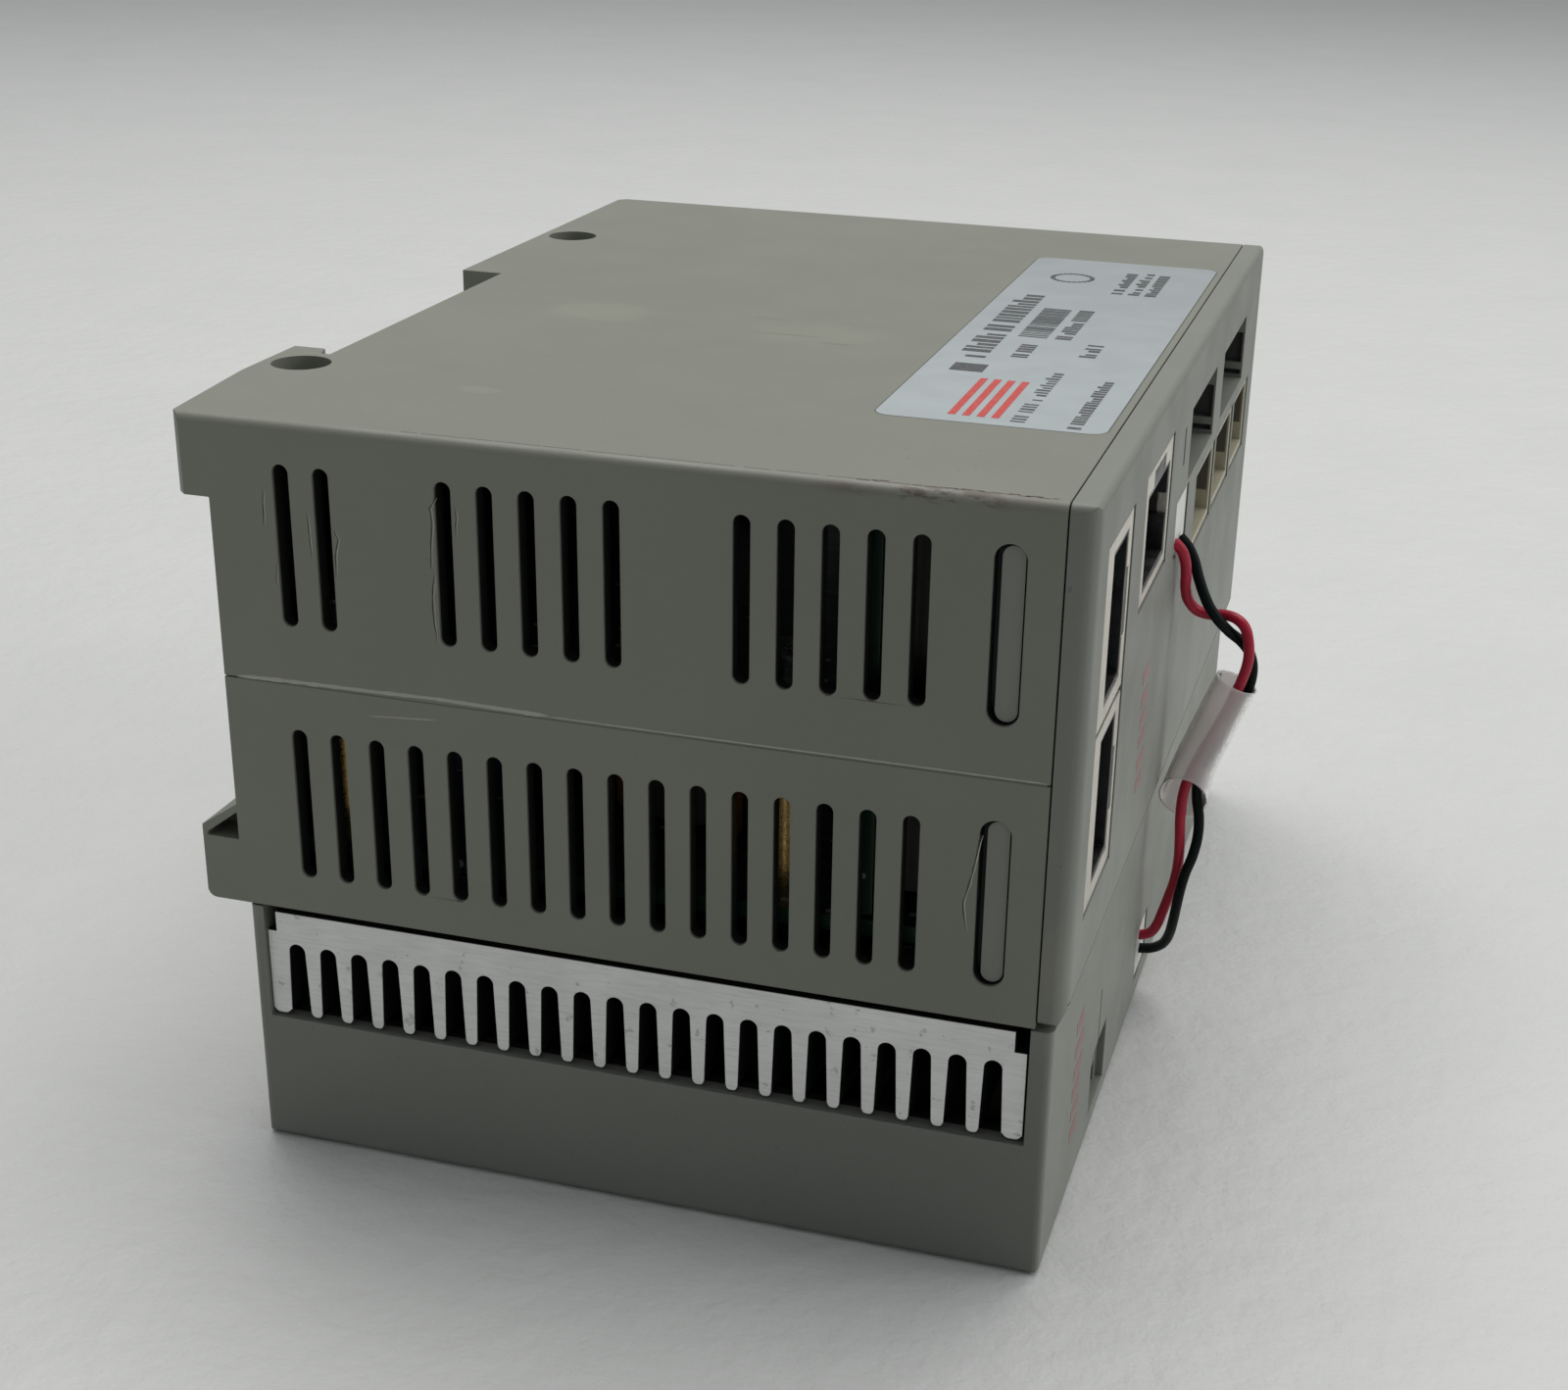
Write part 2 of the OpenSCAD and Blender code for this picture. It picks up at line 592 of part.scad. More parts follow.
module fan_header() color("#ecebe4") place() difference() {
    panel_box(io_front, panel_in - 2, fan_cut_up, -0.5);
    panel_box(panel_in - 9, big, fan_cut_up, -1);
}

// Each plug has a long nose in its socket and a collar that fills the opening, flush with its face.
module fan_plug_upper() color("#ecebe4") place() {
    panel_box(panel_in - 8.8, panel_in + eps, fan_cut_up, -1.15);
    panel_box(panel_in, body_d - plug_inset, fan_cut_up, -0.3);
}

module fan_socket() color("#ecebe4") place() difference() {
    panel_box(tray_x1 - 9, tray_x1 - tray_front - 0.1, fan_cut_low, -0.2);
    panel_box(tray_x1 - 7, big, fan_cut_low, -1);
}

module fan_plug_lower() color("#ecebe4") place() {
    panel_box(tray_x1 - 6.8, tray_x1 - 2 + eps, fan_cut_low, -1.15);
    panel_box(tray_x1 - 2, tray_x1 - plug_inset, fan_cut_low, -0.3);
}

function unit(v) = v / norm(v);

// Points between the route's own, on a smooth curve through them.
function bend(p, i, t) =
    let (n = len(p) - 1, a = p[max(i - 1, 0)], b = p[i], c = p[i + 1], d = p[min(i + 2, n)])
    0.5 * (2 * b + (c - a) * t + (2 * a - 5 * b + 4 * c - d) * t * t + (3 * b - a - 3 * c + d) * t * t * t);
function smooth(p) = [for (i = [0:len(p) - 2], t = [0, 0.5]) bend(p, i, t), p[len(p) - 1]];

// A tube of elliptical section, swept along points, w wide along Y and h thick.
module tube(p, w, h, sides) {
    n = len(p);
    rings = [for (i = [0:n - 1]) let (
        dir = unit(p[min(i + 1, n - 1)] - p[max(i - 1, 0)]),
        up = unit(cross(dir, [0, 1, 0])),
        side = cross(up, dir))
        for (k = [0:sides - 1])
            p[i] + up * h / 2 * cos(360 * k / sides) + side * w / 2 * sin(360 * k / sides)];
    faces = concat(
        [[for (k = [0:sides - 1]) k]],
        [for (i = [0:n - 2], k = [0:sides - 1]) let (a = i * sides + k, b = i * sides + (k + 1) % sides)
            [b, a, a + sides, b + sides]],
        [[for (k = [sides - 1:-1:0]) (n - 1) * sides + k]]);
    polyhedron(rings, faces, convexity = 10);
}

module fan_wire_red() color("#b3202c") place() tube(smooth(red_route), wire_d, wire_d, 8);
module fan_wire_black() color("#1e2422") place() tube(smooth(black_route), wire_d, wire_d, 8);
module wire_sleeve() color("#d9d6d4") place() tube(smooth(sleeve_route), 4.2, 4.6, 12);

// ---- fan ----

module fan_frame() color("#1b1c1e") place() translate([fan_at[0], fan_at[1], fan_z]) {
    difference() {
        linear_extrude(fan_t) outline(-fan_side / 2, -fan_side / 2, fan_side / 2, fan_side / 2, 3);
        translate([0, 0, -1]) cylinder(r = duct_r, h = fan_t + 2);
        for (x = [-1, 1], y = [-1, 1])
            translate([x * fan_hole, y * fan_hole, -1]) cylinder(r = 1.6, h = fan_t + 2);
    }
    difference() {
        union() {
            cylinder(r = hub_r, h = 1.2);
            for (a = [30:120:270]) rotate(a) translate([0, -1.2, 0]) cube([duct_r + 0.5, 2.4, 1.2]);
            cylinder(r = 3, h = 8);
        }
        translate([0, 0, 0.6]) cylinder(r = bearing_r, h = fan_t);
    }
}

module fan_bearing() color("#b98a3c") place() translate([fan_at[0], fan_at[1], fan_z + 0.6]) difference() {
    cylinder(r = bearing_r, h = 7.2);
    translate([0, 0, 0.4]) cylinder(r = shaft_r + 0.05, h = 9);
}

// Copper coils on four poles round the bearing tube.
module fan_stator() color("#a4602c") place() translate([fan_at[0], fan_at[1], fan_z + 2]) difference() {
    union() {
        cylinder(r = 6, h = 4.8);
        for (a = [0:90:270]) rotate(a) intersection() {
            translate([0, -4.2, 0.4]) cube([12, 8.4, 4]);
            cylinder(r = 10, h = 5);
        }
    }
    translate([0, 0, -1]) cylinder(r = 3.05, h = 8);
}

// One flat blade, set at an angle and trimmed to the duct.
module blade() intersection() {
    rotate([38, 0, 0]) translate([0, -5.5, -0.5]) cube([duct_r, 11, 1]);
    difference() {
        translate([0, 0, -3.4]) cylinder(r = duct_r - 0.6, h = 6.8);
        translate([0, 0, -5]) cylinder(r = hub_r - 0.5, h = 10);
    }
}

module fan_rotor() color("#232426") place() translate([fan_at[0], fan_at[1], fan_z]) {
    difference() {
        translate([0, 0, 1.7]) cylinder(r = hub_r, h = 7.9);
        translate([0, 0, 1]) cylinder(r = hub_r - 0.9, h = 7.6);
        cylinder(r = shaft_r, h = 20);
    }
    for (i = [0:blade_count - 1]) rotate(i * 360 / blade_count) translate([0, 0, 5.4]) blade();
}

module fan_magnet() color("#3a3a3d") place() translate([fan_at[0], fan_at[1], fan_z + 2]) difference() {
    cylinder(r = hub_r - 0.9, h = 5.6);
    translate([0, 0, -1]) cylinder(r = 10.6, h = 8);
}

module fan_shaft() color("#c4c6ca") place() translate([fan_at[0], fan_at[1], fan_z + 1.2])
    cylinder(r = shaft_r, h = 8.4);

module fan_screws() color("#b8bac0") place() for (x = [-1, 1], y = [-1, 1]) {
    at = [fan_at[0] + x * fan_hole, fan_at[1] + y * fan_hole];
    rod(at, 1.15, 0.8, fan_z + fan_t);
    rod(at, 2.4, fan_z + fan_t, fan_z + fan_t + 1.4);
}

upper_shell();
lower_shell();
front_bezel();
base_cover();
heatsink();
rating_label();
power_board();
control_board();
io_board();
power_module();
thermal_pad();
for (i = [0:3]) capacitor(i);
choke_core();
choke_winding();
transformer();
relay();
fuse();
processor();
board_link();
board_posts();
board_screws();
heatsink_screws();
for (i = [0:2]) jack_shell(i);
for (i = [0:2]) jack_insert(i);
jack_contacts();
for (i = [0:4]) header(i);
header_pins();
status_lamp();
light_pipe();
fan_header();
fan_socket();
fan_plug_upper();
fan_plug_lower();
fan_wire_red();
fan_wire_black();
wire_sleeve();
fan_frame();
fan_bearing();
fan_stator();
fan_rotor();
fan_magnet();
fan_shaft();
fan_screws();
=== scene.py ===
"""The looks of the servo drive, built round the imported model, which lies on its heatsink side.

Lengths are in millimetres in the case's own frame, and at() turns them into metres in the model's
frame: X runs from the rear wall to the connector panel, Y from the near vent wall to the far one
and Z up from the surface that the drive lies on.
"""

import json
import math
import random

import bmesh
import bpy
from mathutils import Matrix, Vector, noise


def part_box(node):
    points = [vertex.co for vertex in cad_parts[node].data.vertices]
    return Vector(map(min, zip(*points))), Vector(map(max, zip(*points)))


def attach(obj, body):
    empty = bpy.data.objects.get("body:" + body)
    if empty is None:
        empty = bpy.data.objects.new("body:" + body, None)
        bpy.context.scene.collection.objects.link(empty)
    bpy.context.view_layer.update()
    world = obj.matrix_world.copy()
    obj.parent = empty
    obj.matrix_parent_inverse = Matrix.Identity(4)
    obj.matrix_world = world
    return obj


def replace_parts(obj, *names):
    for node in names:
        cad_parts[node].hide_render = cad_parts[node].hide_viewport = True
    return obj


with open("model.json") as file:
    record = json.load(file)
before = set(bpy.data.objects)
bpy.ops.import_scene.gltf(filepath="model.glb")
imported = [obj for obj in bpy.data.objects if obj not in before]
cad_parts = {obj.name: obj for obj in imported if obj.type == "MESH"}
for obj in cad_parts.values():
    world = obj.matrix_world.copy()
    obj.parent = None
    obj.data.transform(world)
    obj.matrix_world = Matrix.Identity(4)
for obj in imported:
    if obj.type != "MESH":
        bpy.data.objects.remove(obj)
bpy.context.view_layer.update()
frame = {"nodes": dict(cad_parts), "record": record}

MM = 0.001
TRAY_SETBACK = 0.4                      # how far the tray's rear wall stands in from the case's
CASE = Vector((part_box("base_cover")[0].x - TRAY_SETBACK * MM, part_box("base_cover")[0].y, 0))
PANEL_X = (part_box("front_bezel")[1].x - CASE.x) / MM
TRAY_X = (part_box("base_cover")[1].x - CASE.x) / MM
TOP_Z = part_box("upper_shell")[1].z / MM
FAR_Y = (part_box("upper_shell")[1].y - CASE.y) / MM
SEAM_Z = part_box("upper_shell")[0].z / MM
CORE_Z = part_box("lower_shell")[0].z / MM
BEZEL_X = (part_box("upper_shell")[1].x - CASE.x) / MM
SINK_ENDS = [(corner.y - CASE.y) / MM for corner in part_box("heatsink")]
HEADER_GAP = 0.15                       # between a header and the edge of its window in the panel
UPPER_ENDS = [(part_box(name)[1].y - CASE.y) / MM + HEADER_GAP for name in ("header_1", "header_2")]
WALL_IN = 1.9                           # the rear wall's inner face
PANEL_SKIN, SIDE_SKIN, FLOOR_SKIN = 2.3, 1.6, 1.4   # nearer the front, sides or foot, no shade is painted
INK_T = 0.02                            # how far printing stands off its surface

# Where the sockets in the panel get painted shade inside: from one height to the next.
LATCH_POCKETS_Z = ((60.3, 63.8), (58.9, 59.5))
UPPER_HEADERS_Z = (60.7, 65.2)
LOWER_HEADERS_Z = (51.3, 56.9)
UPPER_HEADER_LIP, LOWER_HEADER_LIP, JACK_LIP = 3.1, 0.25, 0.9   # the outer part, left without painted shade


def at(x, y, z):
    """A point of the case's frame, in metres in the model's frame."""
    return CASE + Vector((x, y, z)) * MM


# ---- camera ----

def make_camera():
    """The photograph's view: from the near end, a little above, turned towards the panel."""
    azimuth, elevation, roll = (math.radians(a) for a in (15.79, 23.31, 1.28))
    data = bpy.data.cameras.new("camera")
    data.sensor_width = 36
    data.lens = 52.88
    data.shift_x = -0.0257
    data.shift_y = 0.0371
    data.clip_start = 0.01
    camera = bpy.data.objects.new("camera", data)
    turn = Matrix.Rotation(azimuth, 4, "Z")
    tilt = Matrix.Rotation(math.radians(90) - elevation, 4, "X")
    place = Matrix.Translation((0.06697, -0.22469, 0.12335))
    camera.matrix_world = place @ turn @ tilt @ Matrix.Rotation(roll, 4, "Z")
    bpy.context.scene.collection.objects.link(camera)
    bpy.context.scene.camera = camera


# ---- shader helpers ----

class Shader:
    """A material's node tree, with one short call for each kind of node."""

    def __init__(self, name):
        self.material = bpy.data.materials.new(name)
        self.material.use_nodes = True
        self.tree = self.material.node_tree
        self.surface = self.tree.nodes["Principled BSDF"]
        self.place = self.add("ShaderNodeTexCoord").outputs["Object"]

    @classmethod
    def reopen(cls, material):
        """A Shader on a material that is already there."""
        s = cls.__new__(cls)
        s.material, s.tree = material, material.node_tree
        s.surface = s.tree.nodes["Principled BSDF"]
        s.place = s.add("ShaderNodeTexCoord").outputs["Object"]
        return s

    def add(self, kind):
        return self.tree.nodes.new(kind)

    def put(self, socket, value):
        """Links an output to a socket, or sets the socket to a plain value."""
        if isinstance(value, bpy.types.NodeSocket):
            self.tree.links.new(value, socket)
        else:
            socket.default_value = value

    def set(self, **values):
        """Sets the surface's own sockets, such as Base_Color=... and Roughness=..."""
        for name, value in values.items():
            self.put(self.surface.inputs[name.replace("_", " ")], value)

    def noise(self, size, detail=3, rough=0.5, stretch=(1, 1, 1)):
        """Smooth noise, 0 to 1, whose blobs are about size millimetres across."""
        node = self.add("ShaderNodeTexNoise")
        self.put(node.inputs["Vector"], self.stretched(stretch))
        node.inputs["Scale"].default_value = 1 / (size * MM)
        node.inputs["Detail"].default_value = detail
        node.inputs["Roughness"].default_value = rough
        return node.outputs["Fac"]

    def cells(self, size):
        """Distance from the nearest of scattered points, which are about size millimetres apart."""
        node = self.add("ShaderNodeTexVoronoi")
        self.put(node.inputs["Vector"], self.place)
        node.inputs["Scale"].default_value = 1 / (size * MM)
        return node.outputs["Distance"]

    def stretched(self, stretch):
        """Object coordinates, in which a pattern is longer along an axis by a number over 1."""
        if stretch == (1, 1, 1):
            return self.place
        node = self.add("ShaderNodeMapping")
        self.put(node.inputs["Vector"], self.place)
        node.inputs["Scale"].default_value = [1 / factor for factor in stretch]
        return node.outputs["Vector"]

    def math(self, operation, a, b):
        node = self.add("ShaderNodeMath")
        node.operation = operation
        self.put(node.inputs[0], a)
        self.put(node.inputs[1], b)
        return node.outputs[0]

    def times(self, a, b):
        return self.math("MULTIPLY", a, b)

    def band(self, value, low, high, to_low=0.0, to_high=1.0):
        """value, taken from low..high to to_low..to_high along a smooth step."""
        node = self.add("ShaderNodeMapRange")
        node.interpolation_type = "SMOOTHSTEP"
        self.put(node.inputs["Value"], value)
        for name, number in (("From Min", low), ("From Max", high), ("To Min", to_low), ("To Max", to_high)):
            self.put(node.inputs[name], number)
        return node.outputs["Result"]

    def mix(self, share, a, b):
        """Colour a, with share of it replaced by colour b."""
        node = self.add("ShaderNodeMix")
        node.data_type = "RGBA"
        self.put(node.inputs["Factor"], share)
        self.put(node.inputs["A"], rgba(a))
        self.put(node.inputs["B"], rgba(b))
        return node.outputs["Result"]

    def axis(self, name):
        """The X, Y or Z of the place, in millimetres of the case's frame."""
        node = self.add("ShaderNodeSeparateXYZ")
        self.put(node.inputs[0], self.place)
        start = {"X": CASE.x, "Y": CASE.y, "Z": 0}[name]
        return self.times(self.math("SUBTRACT", node.outputs[name], start), 1 / MM)

    def bump(self, height, depth, before=None):
        """Bump of at most depth millimetres, on top of another bump."""
        node = self.add("ShaderNodeBump")
        node.inputs["Distance"].default_value = depth * MM
        self.put(node.inputs["Height"], height)
        if before:
            self.put(node.inputs["Normal"], before)
        return node.outputs["Normal"]

    def spot(self, centre, radii, blob=2.5):
        """1 inside an ellipsoid with a soft, ragged edge, 0 outside, all in millimetres."""
        ragged, core = 0.35, 0.35
        node = self.add("ShaderNodeVectorMath")
        node.operation = "SUBTRACT"
        self.put(node.inputs[0], self.place)
        self.put(node.inputs[1], at(*centre))
        scaled = self.add("ShaderNodeVectorMath")
        scaled.operation = "MULTIPLY"
        self.put(scaled.inputs[0], node.outputs[0])
        self.put(scaled.inputs[1], [1 / (r * MM) for r in radii])
        length = self.add("ShaderNodeVectorMath")
        length.operation = "LENGTH"
        self.put(length.inputs[0], scaled.outputs[0])
        rough = self.times(self.noise(blob, 4, 0.6), 2 * ragged)
        return self.band(self.math("ADD", length.outputs["Value"], rough), 1 + ragged, core + ragged)


def rgba(colour):
    """A colour as four numbers; a socket is left as it is."""
    if isinstance(colour, bpy.types.NodeSocket):
        return colour
    return (*colour, 1.0) if len(colour) == 3 else colour


def shade(colour, factor):
    """A colour, lighter or darker by a factor."""
    return tuple(c * factor for c in colour)


# ---- materials ----

CASE_GREY = (0.192, 0.198, 0.163)
PANEL_GREY = (0.192, 0.199, 0.174)
SHADOW = (0.008, 0.008, 0.008)


def moulded_plastic(name, colour, roughness=0.5, mottle=0.06):
    """Moulded plastic: a fine textured skin, slow drifts of colour and gloss, and faint dust."""
    grain, depth = 0.35, 0.018
    s = Shader(name)
    drift = s.noise(26, 2)
    fine = s.noise(grain, 2, 0.6)
    tone = s.mix(drift, shade(colour, 1 - mottle), shade(colour, 1 + mottle))
    speckle = s.band(s.noise(0.9, 4, 0.7), 0.42, 0.62)
    tone = s.mix(s.times(speckle, 0.12), tone, shade(colour, 0.86))
    s.set(Base_Color=tone, Roughness=s.band(s.noise(9, 3), 0.3, 0.7, roughness - 0.05, roughness + 0.07))
    s.set(Normal=s.bump(fine, depth), Specular_IOR_Level=0.42)
    return s, tone


STAINS = (((17, 49.5), (7, 5), 0.16), ((18.5, 16), (3, 1.6), 0.16), ((40, 48), (9, 6), 0.10))
SMEARS = (((37.5, 46.4), (5.5, 0.45)), ((43.5, 44.2), (2.6, 0.4)), ((34, 52.5), (2.6, 0.35)))


def scuffed_and_shaded(s, tone):
    """Wear of the case: a rubbed and chipped near top edge, and stains, smears and specks on top; then
    painted shade on the near wall.
    """
    x, y, z = s.axis("X"), s.axis("Y"), s.axis("Z")
    chip_noise = s.noise(1.1, 5, 0.7, stretch=(3.2, 1, 1))
    along = s.times(s.band(x, 54, 61), s.band(x, 72, 67))
    edge = s.times(s.band(y, 1.5, 0.5), s.band(z, TOP_Z - 1.3, TOP_Z - 0.5))
    chips = s.times(s.times(along, edge), s.band(chip_noise, 0.5, 0.58))
    tone = s.mix(s.times(chips, 0.8), tone, (0.085, 0.056, 0.042))
    rub_noise = s.band(s.noise(3.0, 4, 0.65, stretch=(4, 1, 1)), 0.5, 0.66)
    rubbed = s.times(s.times(edge, s.band(x, 10, 30)), rub_noise)
    tone = s.mix(s.times(rubbed, 0.35), tone, (0.16, 0.125, 0.1))
    for centre, radii, strength in STAINS:
        stain = s.spot((*centre, TOP_Z), (*radii, 2), blob=3.5)
        tone = s.mix(s.times(stain, strength), tone, (0.34, 0.33, 0.235))
    for centre, radii in SMEARS:
        smear = s.spot((*centre, TOP_Z), (*radii, 2), blob=1.2)
        tone = s.mix(s.times(smear, 0.42), tone, shade(CASE_GREY, 0.62))
    specks = s.times(s.band(s.noise(0.55, 3, 0.7), 0.66, 0.72), s.spot((62, 9, TOP_Z), (9, 6, 2)))
    tone = s.mix(s.times(specks, 0.75), tone, shade(CASE_GREY, 0.4))
    # painted shade on the near wall, darker towards the panel
    return near_wall_shade(s, tone, 0.13)


def near_wall_shade(s, tone, strength):
    """Painted shade: the near wall a little darker towards the panel."""
    fade = s.times(s.band(s.axis("Y"), 0.6, 0.1), s.band(s.axis("X"), 20, 72))
    return s.mix(s.times(fade, strength), tone, SHADOW)


def inside(s, low, high, skin):
    """1 within a box of the case's frame, 0 outside, with an edge skin millimetres wide."""
    share = 1.0
    for name, start, end in zip("XYZ", low, high):
        place = s.axis(name)
        share = s.times(share, s.band(place, start, start + skin))
        share = s.times(share, s.band(place, end, end - skin))
    return share


def paint_shade_in_box(s, tone, low, high, skin=0.1, strength=0.94):
    """Painted shade on the faces in a box of the case's frame, so that vents and sockets read black."""
    return s.mix(s.times(inside(s, low, high, skin), strength), tone, SHADOW)


def case_material():
    """The two shells' plastic, with painted shade on the faces behind the vent walls' outer skin."""
    s, tone = moulded_plastic("case_plastic", CASE_GREY)
    tone = scuffed_and_shaded(s, tone)
    skin = 0.28
    low, high = (WALL_IN, skin, CORE_Z + 1), (BEZEL_X + 1, FAR_Y - skin, TOP_Z - skin)
    # painted shade on the inner faces, so that the vents read black
    s.set(Base_Color=paint_shade_in_box(s, tone, low, high, 0.08))
    return s.material


def painted_front_light(s, tone, face, rise, colour):
    """Painted light on the front face, as from the floor's bounce: a little paler from one height to the
    next.
    """
    share = s.times(s.band(s.axis("X"), face - 1.4, face - 1), s.band(s.axis("Z"), *rise))
    return s.mix(s.times(share, 0.4), tone, shade(colour, 1.5))


def panel_material():
    """The panel's and the tray's plastic, with painted shade inside, in the pockets of the headers' latches,
    on the near wall and at the tray's foot, and painted light low on the front.
    """
    s, tone = moulded_plastic("panel_plastic", PANEL_GREY)
    smear = s.spot((PANEL_X - 1.5, 0, 31), (2, 2, 5), blob=1.5)
    tone = s.mix(s.times(smear, 0.18), tone, (0.3, 0.29, 0.17))
    specks = s.band(s.noise(0.6, 3, 0.7), 0.68, 0.73)
    tone = s.mix(s.times(specks, 0.5), tone, shade(PANEL_GREY, 0.45))
    # painted shade on the tray's near wall, just under the lower shell
    tray_foot_shade = s.times(s.band(s.axis("Z"), CORE_Z, CORE_Z - 3), s.band(s.axis("Y"), 0.6, 0.1))
    tone = s.mix(s.times(tray_foot_shade, 0.1), tone, SHADOW)
    # painted light low on the panel's and the tray's front
    tone = painted_front_light(s, tone, PANEL_X, (48, 30), PANEL_GREY)
    # painted shade on the near wall, darker towards the panel
    tone = near_wall_shade(s, tone, 0.17)
    inner_end = (PANEL_X - PANEL_SKIN, FAR_Y - SIDE_SKIN, TOP_Z - 0.2)
    # painted shade on the inner faces
    tone = paint_shade_in_box(s, tone, (WALL_IN, SIDE_SKIN, FLOOR_SKIN), inner_end)
    # painted shade in the pockets of the headers' latches
    for far in UPPER_ENDS:
        for low, high in LATCH_POCKETS_Z:
            tone = paint_shade_in_box(s, tone, (0, far - 0.06, low), (PANEL_X - 0.15, far + 1.2, high), 0.04, 0.86)
    s.set(Base_Color=tone)
    return s.material


def shade_painted_inside(material, lip, rise=(0, TOP_Z), strength=0.84):
    """The same material, but with painted shade from a lip at the panel's face inwards, from one height to
    the next.
    """
    s = Shader.reopen(material)
    tone = s.surface.inputs["Base Color"].links[0].from_socket
    low, high = (0, 0, rise[0]), (PANEL_X - lip, FAR_Y, rise[1])
    s.set(Base_Color=paint_shade_in_box(s, tone, low, high, 0.25, strength))
    return material


def burr_highlight_material():
    """Flash and scraped plastic, paler than the skin round it: raised burrs whose paleness is a painted
    highlight.
    """
    return moulded_plastic("burr_plastic_painted_highlight", shade(CASE_GREY, 1.9), 0.6, 0.12)[0].material


def crack_material():
    """Grime in a scratch."""
    return moulded_plastic("scratch_grime", shade(CASE_GREY, 0.18), 0.7, 0.2)[0].material


def extruded_aluminium():
    """A dark anodised extrusion, bare where it was sawn off, with fine saw arcs and dents."""
    s = Shader("extruded_aluminium")
    drawn = s.noise(0.35, 3, 0.6, stretch=(1, 60, 1))
    sawn = s.noise(0.22, 3, 0.6, stretch=(14, 1, 1))
    dents = s.band(s.noise(1.3, 4, 0.7), 0.62, 0.7)
    cloud = s.noise(7, 3)
    bare = s.mix(cloud, (0.68, 0.69, 0.66), (0.85, 0.855, 0.82))
    bare = s.mix(s.times(dents, 0.45), bare, (0.3, 0.3, 0.29))
    bare = s.mix(s.times(s.band(sawn, 0.35, 0.75), 0.25), bare, (0.42, 0.42, 0.41))
    y = s.axis("Y")
    near, far = SINK_ENDS
    end = s.math("MAXIMUM", s.band(y, near + 0.12, near + 0.06), s.band(y, far - 0.12, far - 0.06))
    coat = s.mix(drawn, (0.006, 0.006, 0.007), (0.013, 0.013, 0.014))
    normal = s.bump(drawn, 0.02, s.bump(sawn, 0.016, s.bump(dents, 0.05)))
    s.set(Base_Color=s.mix(end, coat, bare), Normal=normal, Metallic=s.band(end, 0, 1, 0.1, 0.3))
    s.set(Roughness=s.band(s.noise(3, 3), 0.3, 0.7, 0.44, 0.6))
    return s.material


def plated_metal(name, colour, roughness=0.3):
    """Plated sheet or turned metal with fine lines and a little tarnish."""
    s = Shader(name)
    scratch = s.noise(0.25, 3, 0.6, stretch=(1, 8, 1))
    tarnish = s.band(s.noise(3.5, 4, 0.6), 0.45, 0.7)
    tone = s.mix(s.times(tarnish, 0.4), colour, shade(colour, 0.7))
    s.set(Base_Color=tone, Metallic=1.0, Normal=s.bump(scratch, 0.01))
    s.set(Roughness=s.band(scratch, 0.3, 0.7, roughness - 0.06, roughness + 0.12))
    return s.material


def nylon(name, colour, roughness=0.42, glow=0.12):
    """Moulded nylon: waxy, a little cloudy, with faint flow marks."""
    s = Shader(name)
    cloud = s.noise(2.2, 3)
    tone = s.mix(cloud, shade(colour, 0.92), shade(colour, 1.04))
    grime = s.band(s.noise(1.3, 4, 0.7), 0.56, 0.72)
    tone = s.mix(s.times(grime, 0.14), tone, shade(colour, 0.6))
    s.set(Base_Color=tone, Normal=s.bump(s.noise(0.4, 2), 0.012), Subsurface_Weight=glow)
    s.set(Subsurface_Radius=(0.0012, 0.001, 0.0008), Subsurface_Scale=1.0)
    s.set(Roughness=s.band(s.noise(2.5, 3), 0.3, 0.7, roughness - 0.06, roughness + 0.08))
    return s.material


def dark_resin(name, colour, roughness=0.42):
    """Dark moulding compound, slightly dusty."""
    s = Shader(name)
    dust = s.band(s.noise(1.6, 4, 0.7), 0.55, 0.75)
    tone = s.mix(s.times(dust, 0.16), colour, (0.12, 0.12, 0.115))
    s.set(Base_Color=tone, Normal=s.bump(s.noise(0.25, 2), 0.012))
    s.set(Roughness=s.band(s.noise(2.0, 3), 0.3, 0.7, roughness - 0.08, roughness + 0.1))
    return s.material


def circuit_board():
    """Green mask over copper tracks, with tinned pads."""
    s = Shader("circuit_board")
    tracks = s.band(s.noise(2.4, 1, 0.4, stretch=(4, 1, 4)), 0.48, 0.5)
    other = s.band(s.noise(2.4, 1, 0.4, stretch=(1, 4, 1)), 0.5, 0.52)
    weave = s.noise(0.5, 2)
    tone = s.mix(weave, (0.007, 0.03, 0.016), (0.009, 0.038, 0.02))
    tone = s.mix(s.times(s.math("MAXIMUM", tracks, other), 0.4), tone, (0.015, 0.065, 0.033))
    pads = s.band(s.cells(2.9), 0.17, 0.14)
    tone = s.mix(s.times(pads, 0.8), tone, (0.5, 0.5, 0.48))
    s.set(Base_Color=tone, Normal=s.bump(tracks, 0.03), Roughness=0.32, Coat_Weight=0.2)
    return s.material


def wound_copper():
    """Enamelled wire, turn by turn."""
    s = Shader("wound_copper")
    turns = s.noise(0.45, 1, 0.3, stretch=(9, 9, 1))
    tone = s.mix(turns, (0.28, 0.085, 0.03), (0.52, 0.2, 0.07))
    s.set(Base_Color=tone, Metallic=0.7, Roughness=0.35, Normal=s.bump(turns, 0.08), Coat_Weight=0.4)
    return s.material


def ferrite():
    """Sintered ferrite: dull, speckled and slightly rough."""
    s = Shader("ferrite")
    tone = s.mix(s.noise(1.2, 4, 0.7), (0.035, 0.04, 0.032), (0.075, 0.08, 0.065))
    s.set(Base_Color=tone, Roughness=0.6, Normal=s.bump(s.noise(0.3, 3), 0.04))
    return s.material


def silicone_pad():
    """Soft pale blue heat pad."""
    s = Shader("silicone_pad")
    tone = s.mix(s.noise(1.5, 3), (0.28, 0.38, 0.48), (0.36, 0.46, 0.56))
    s.set(Base_Color=tone, Roughness=0.6, Normal=s.bump(s.noise(0.6, 2), 0.03))
    return s.material


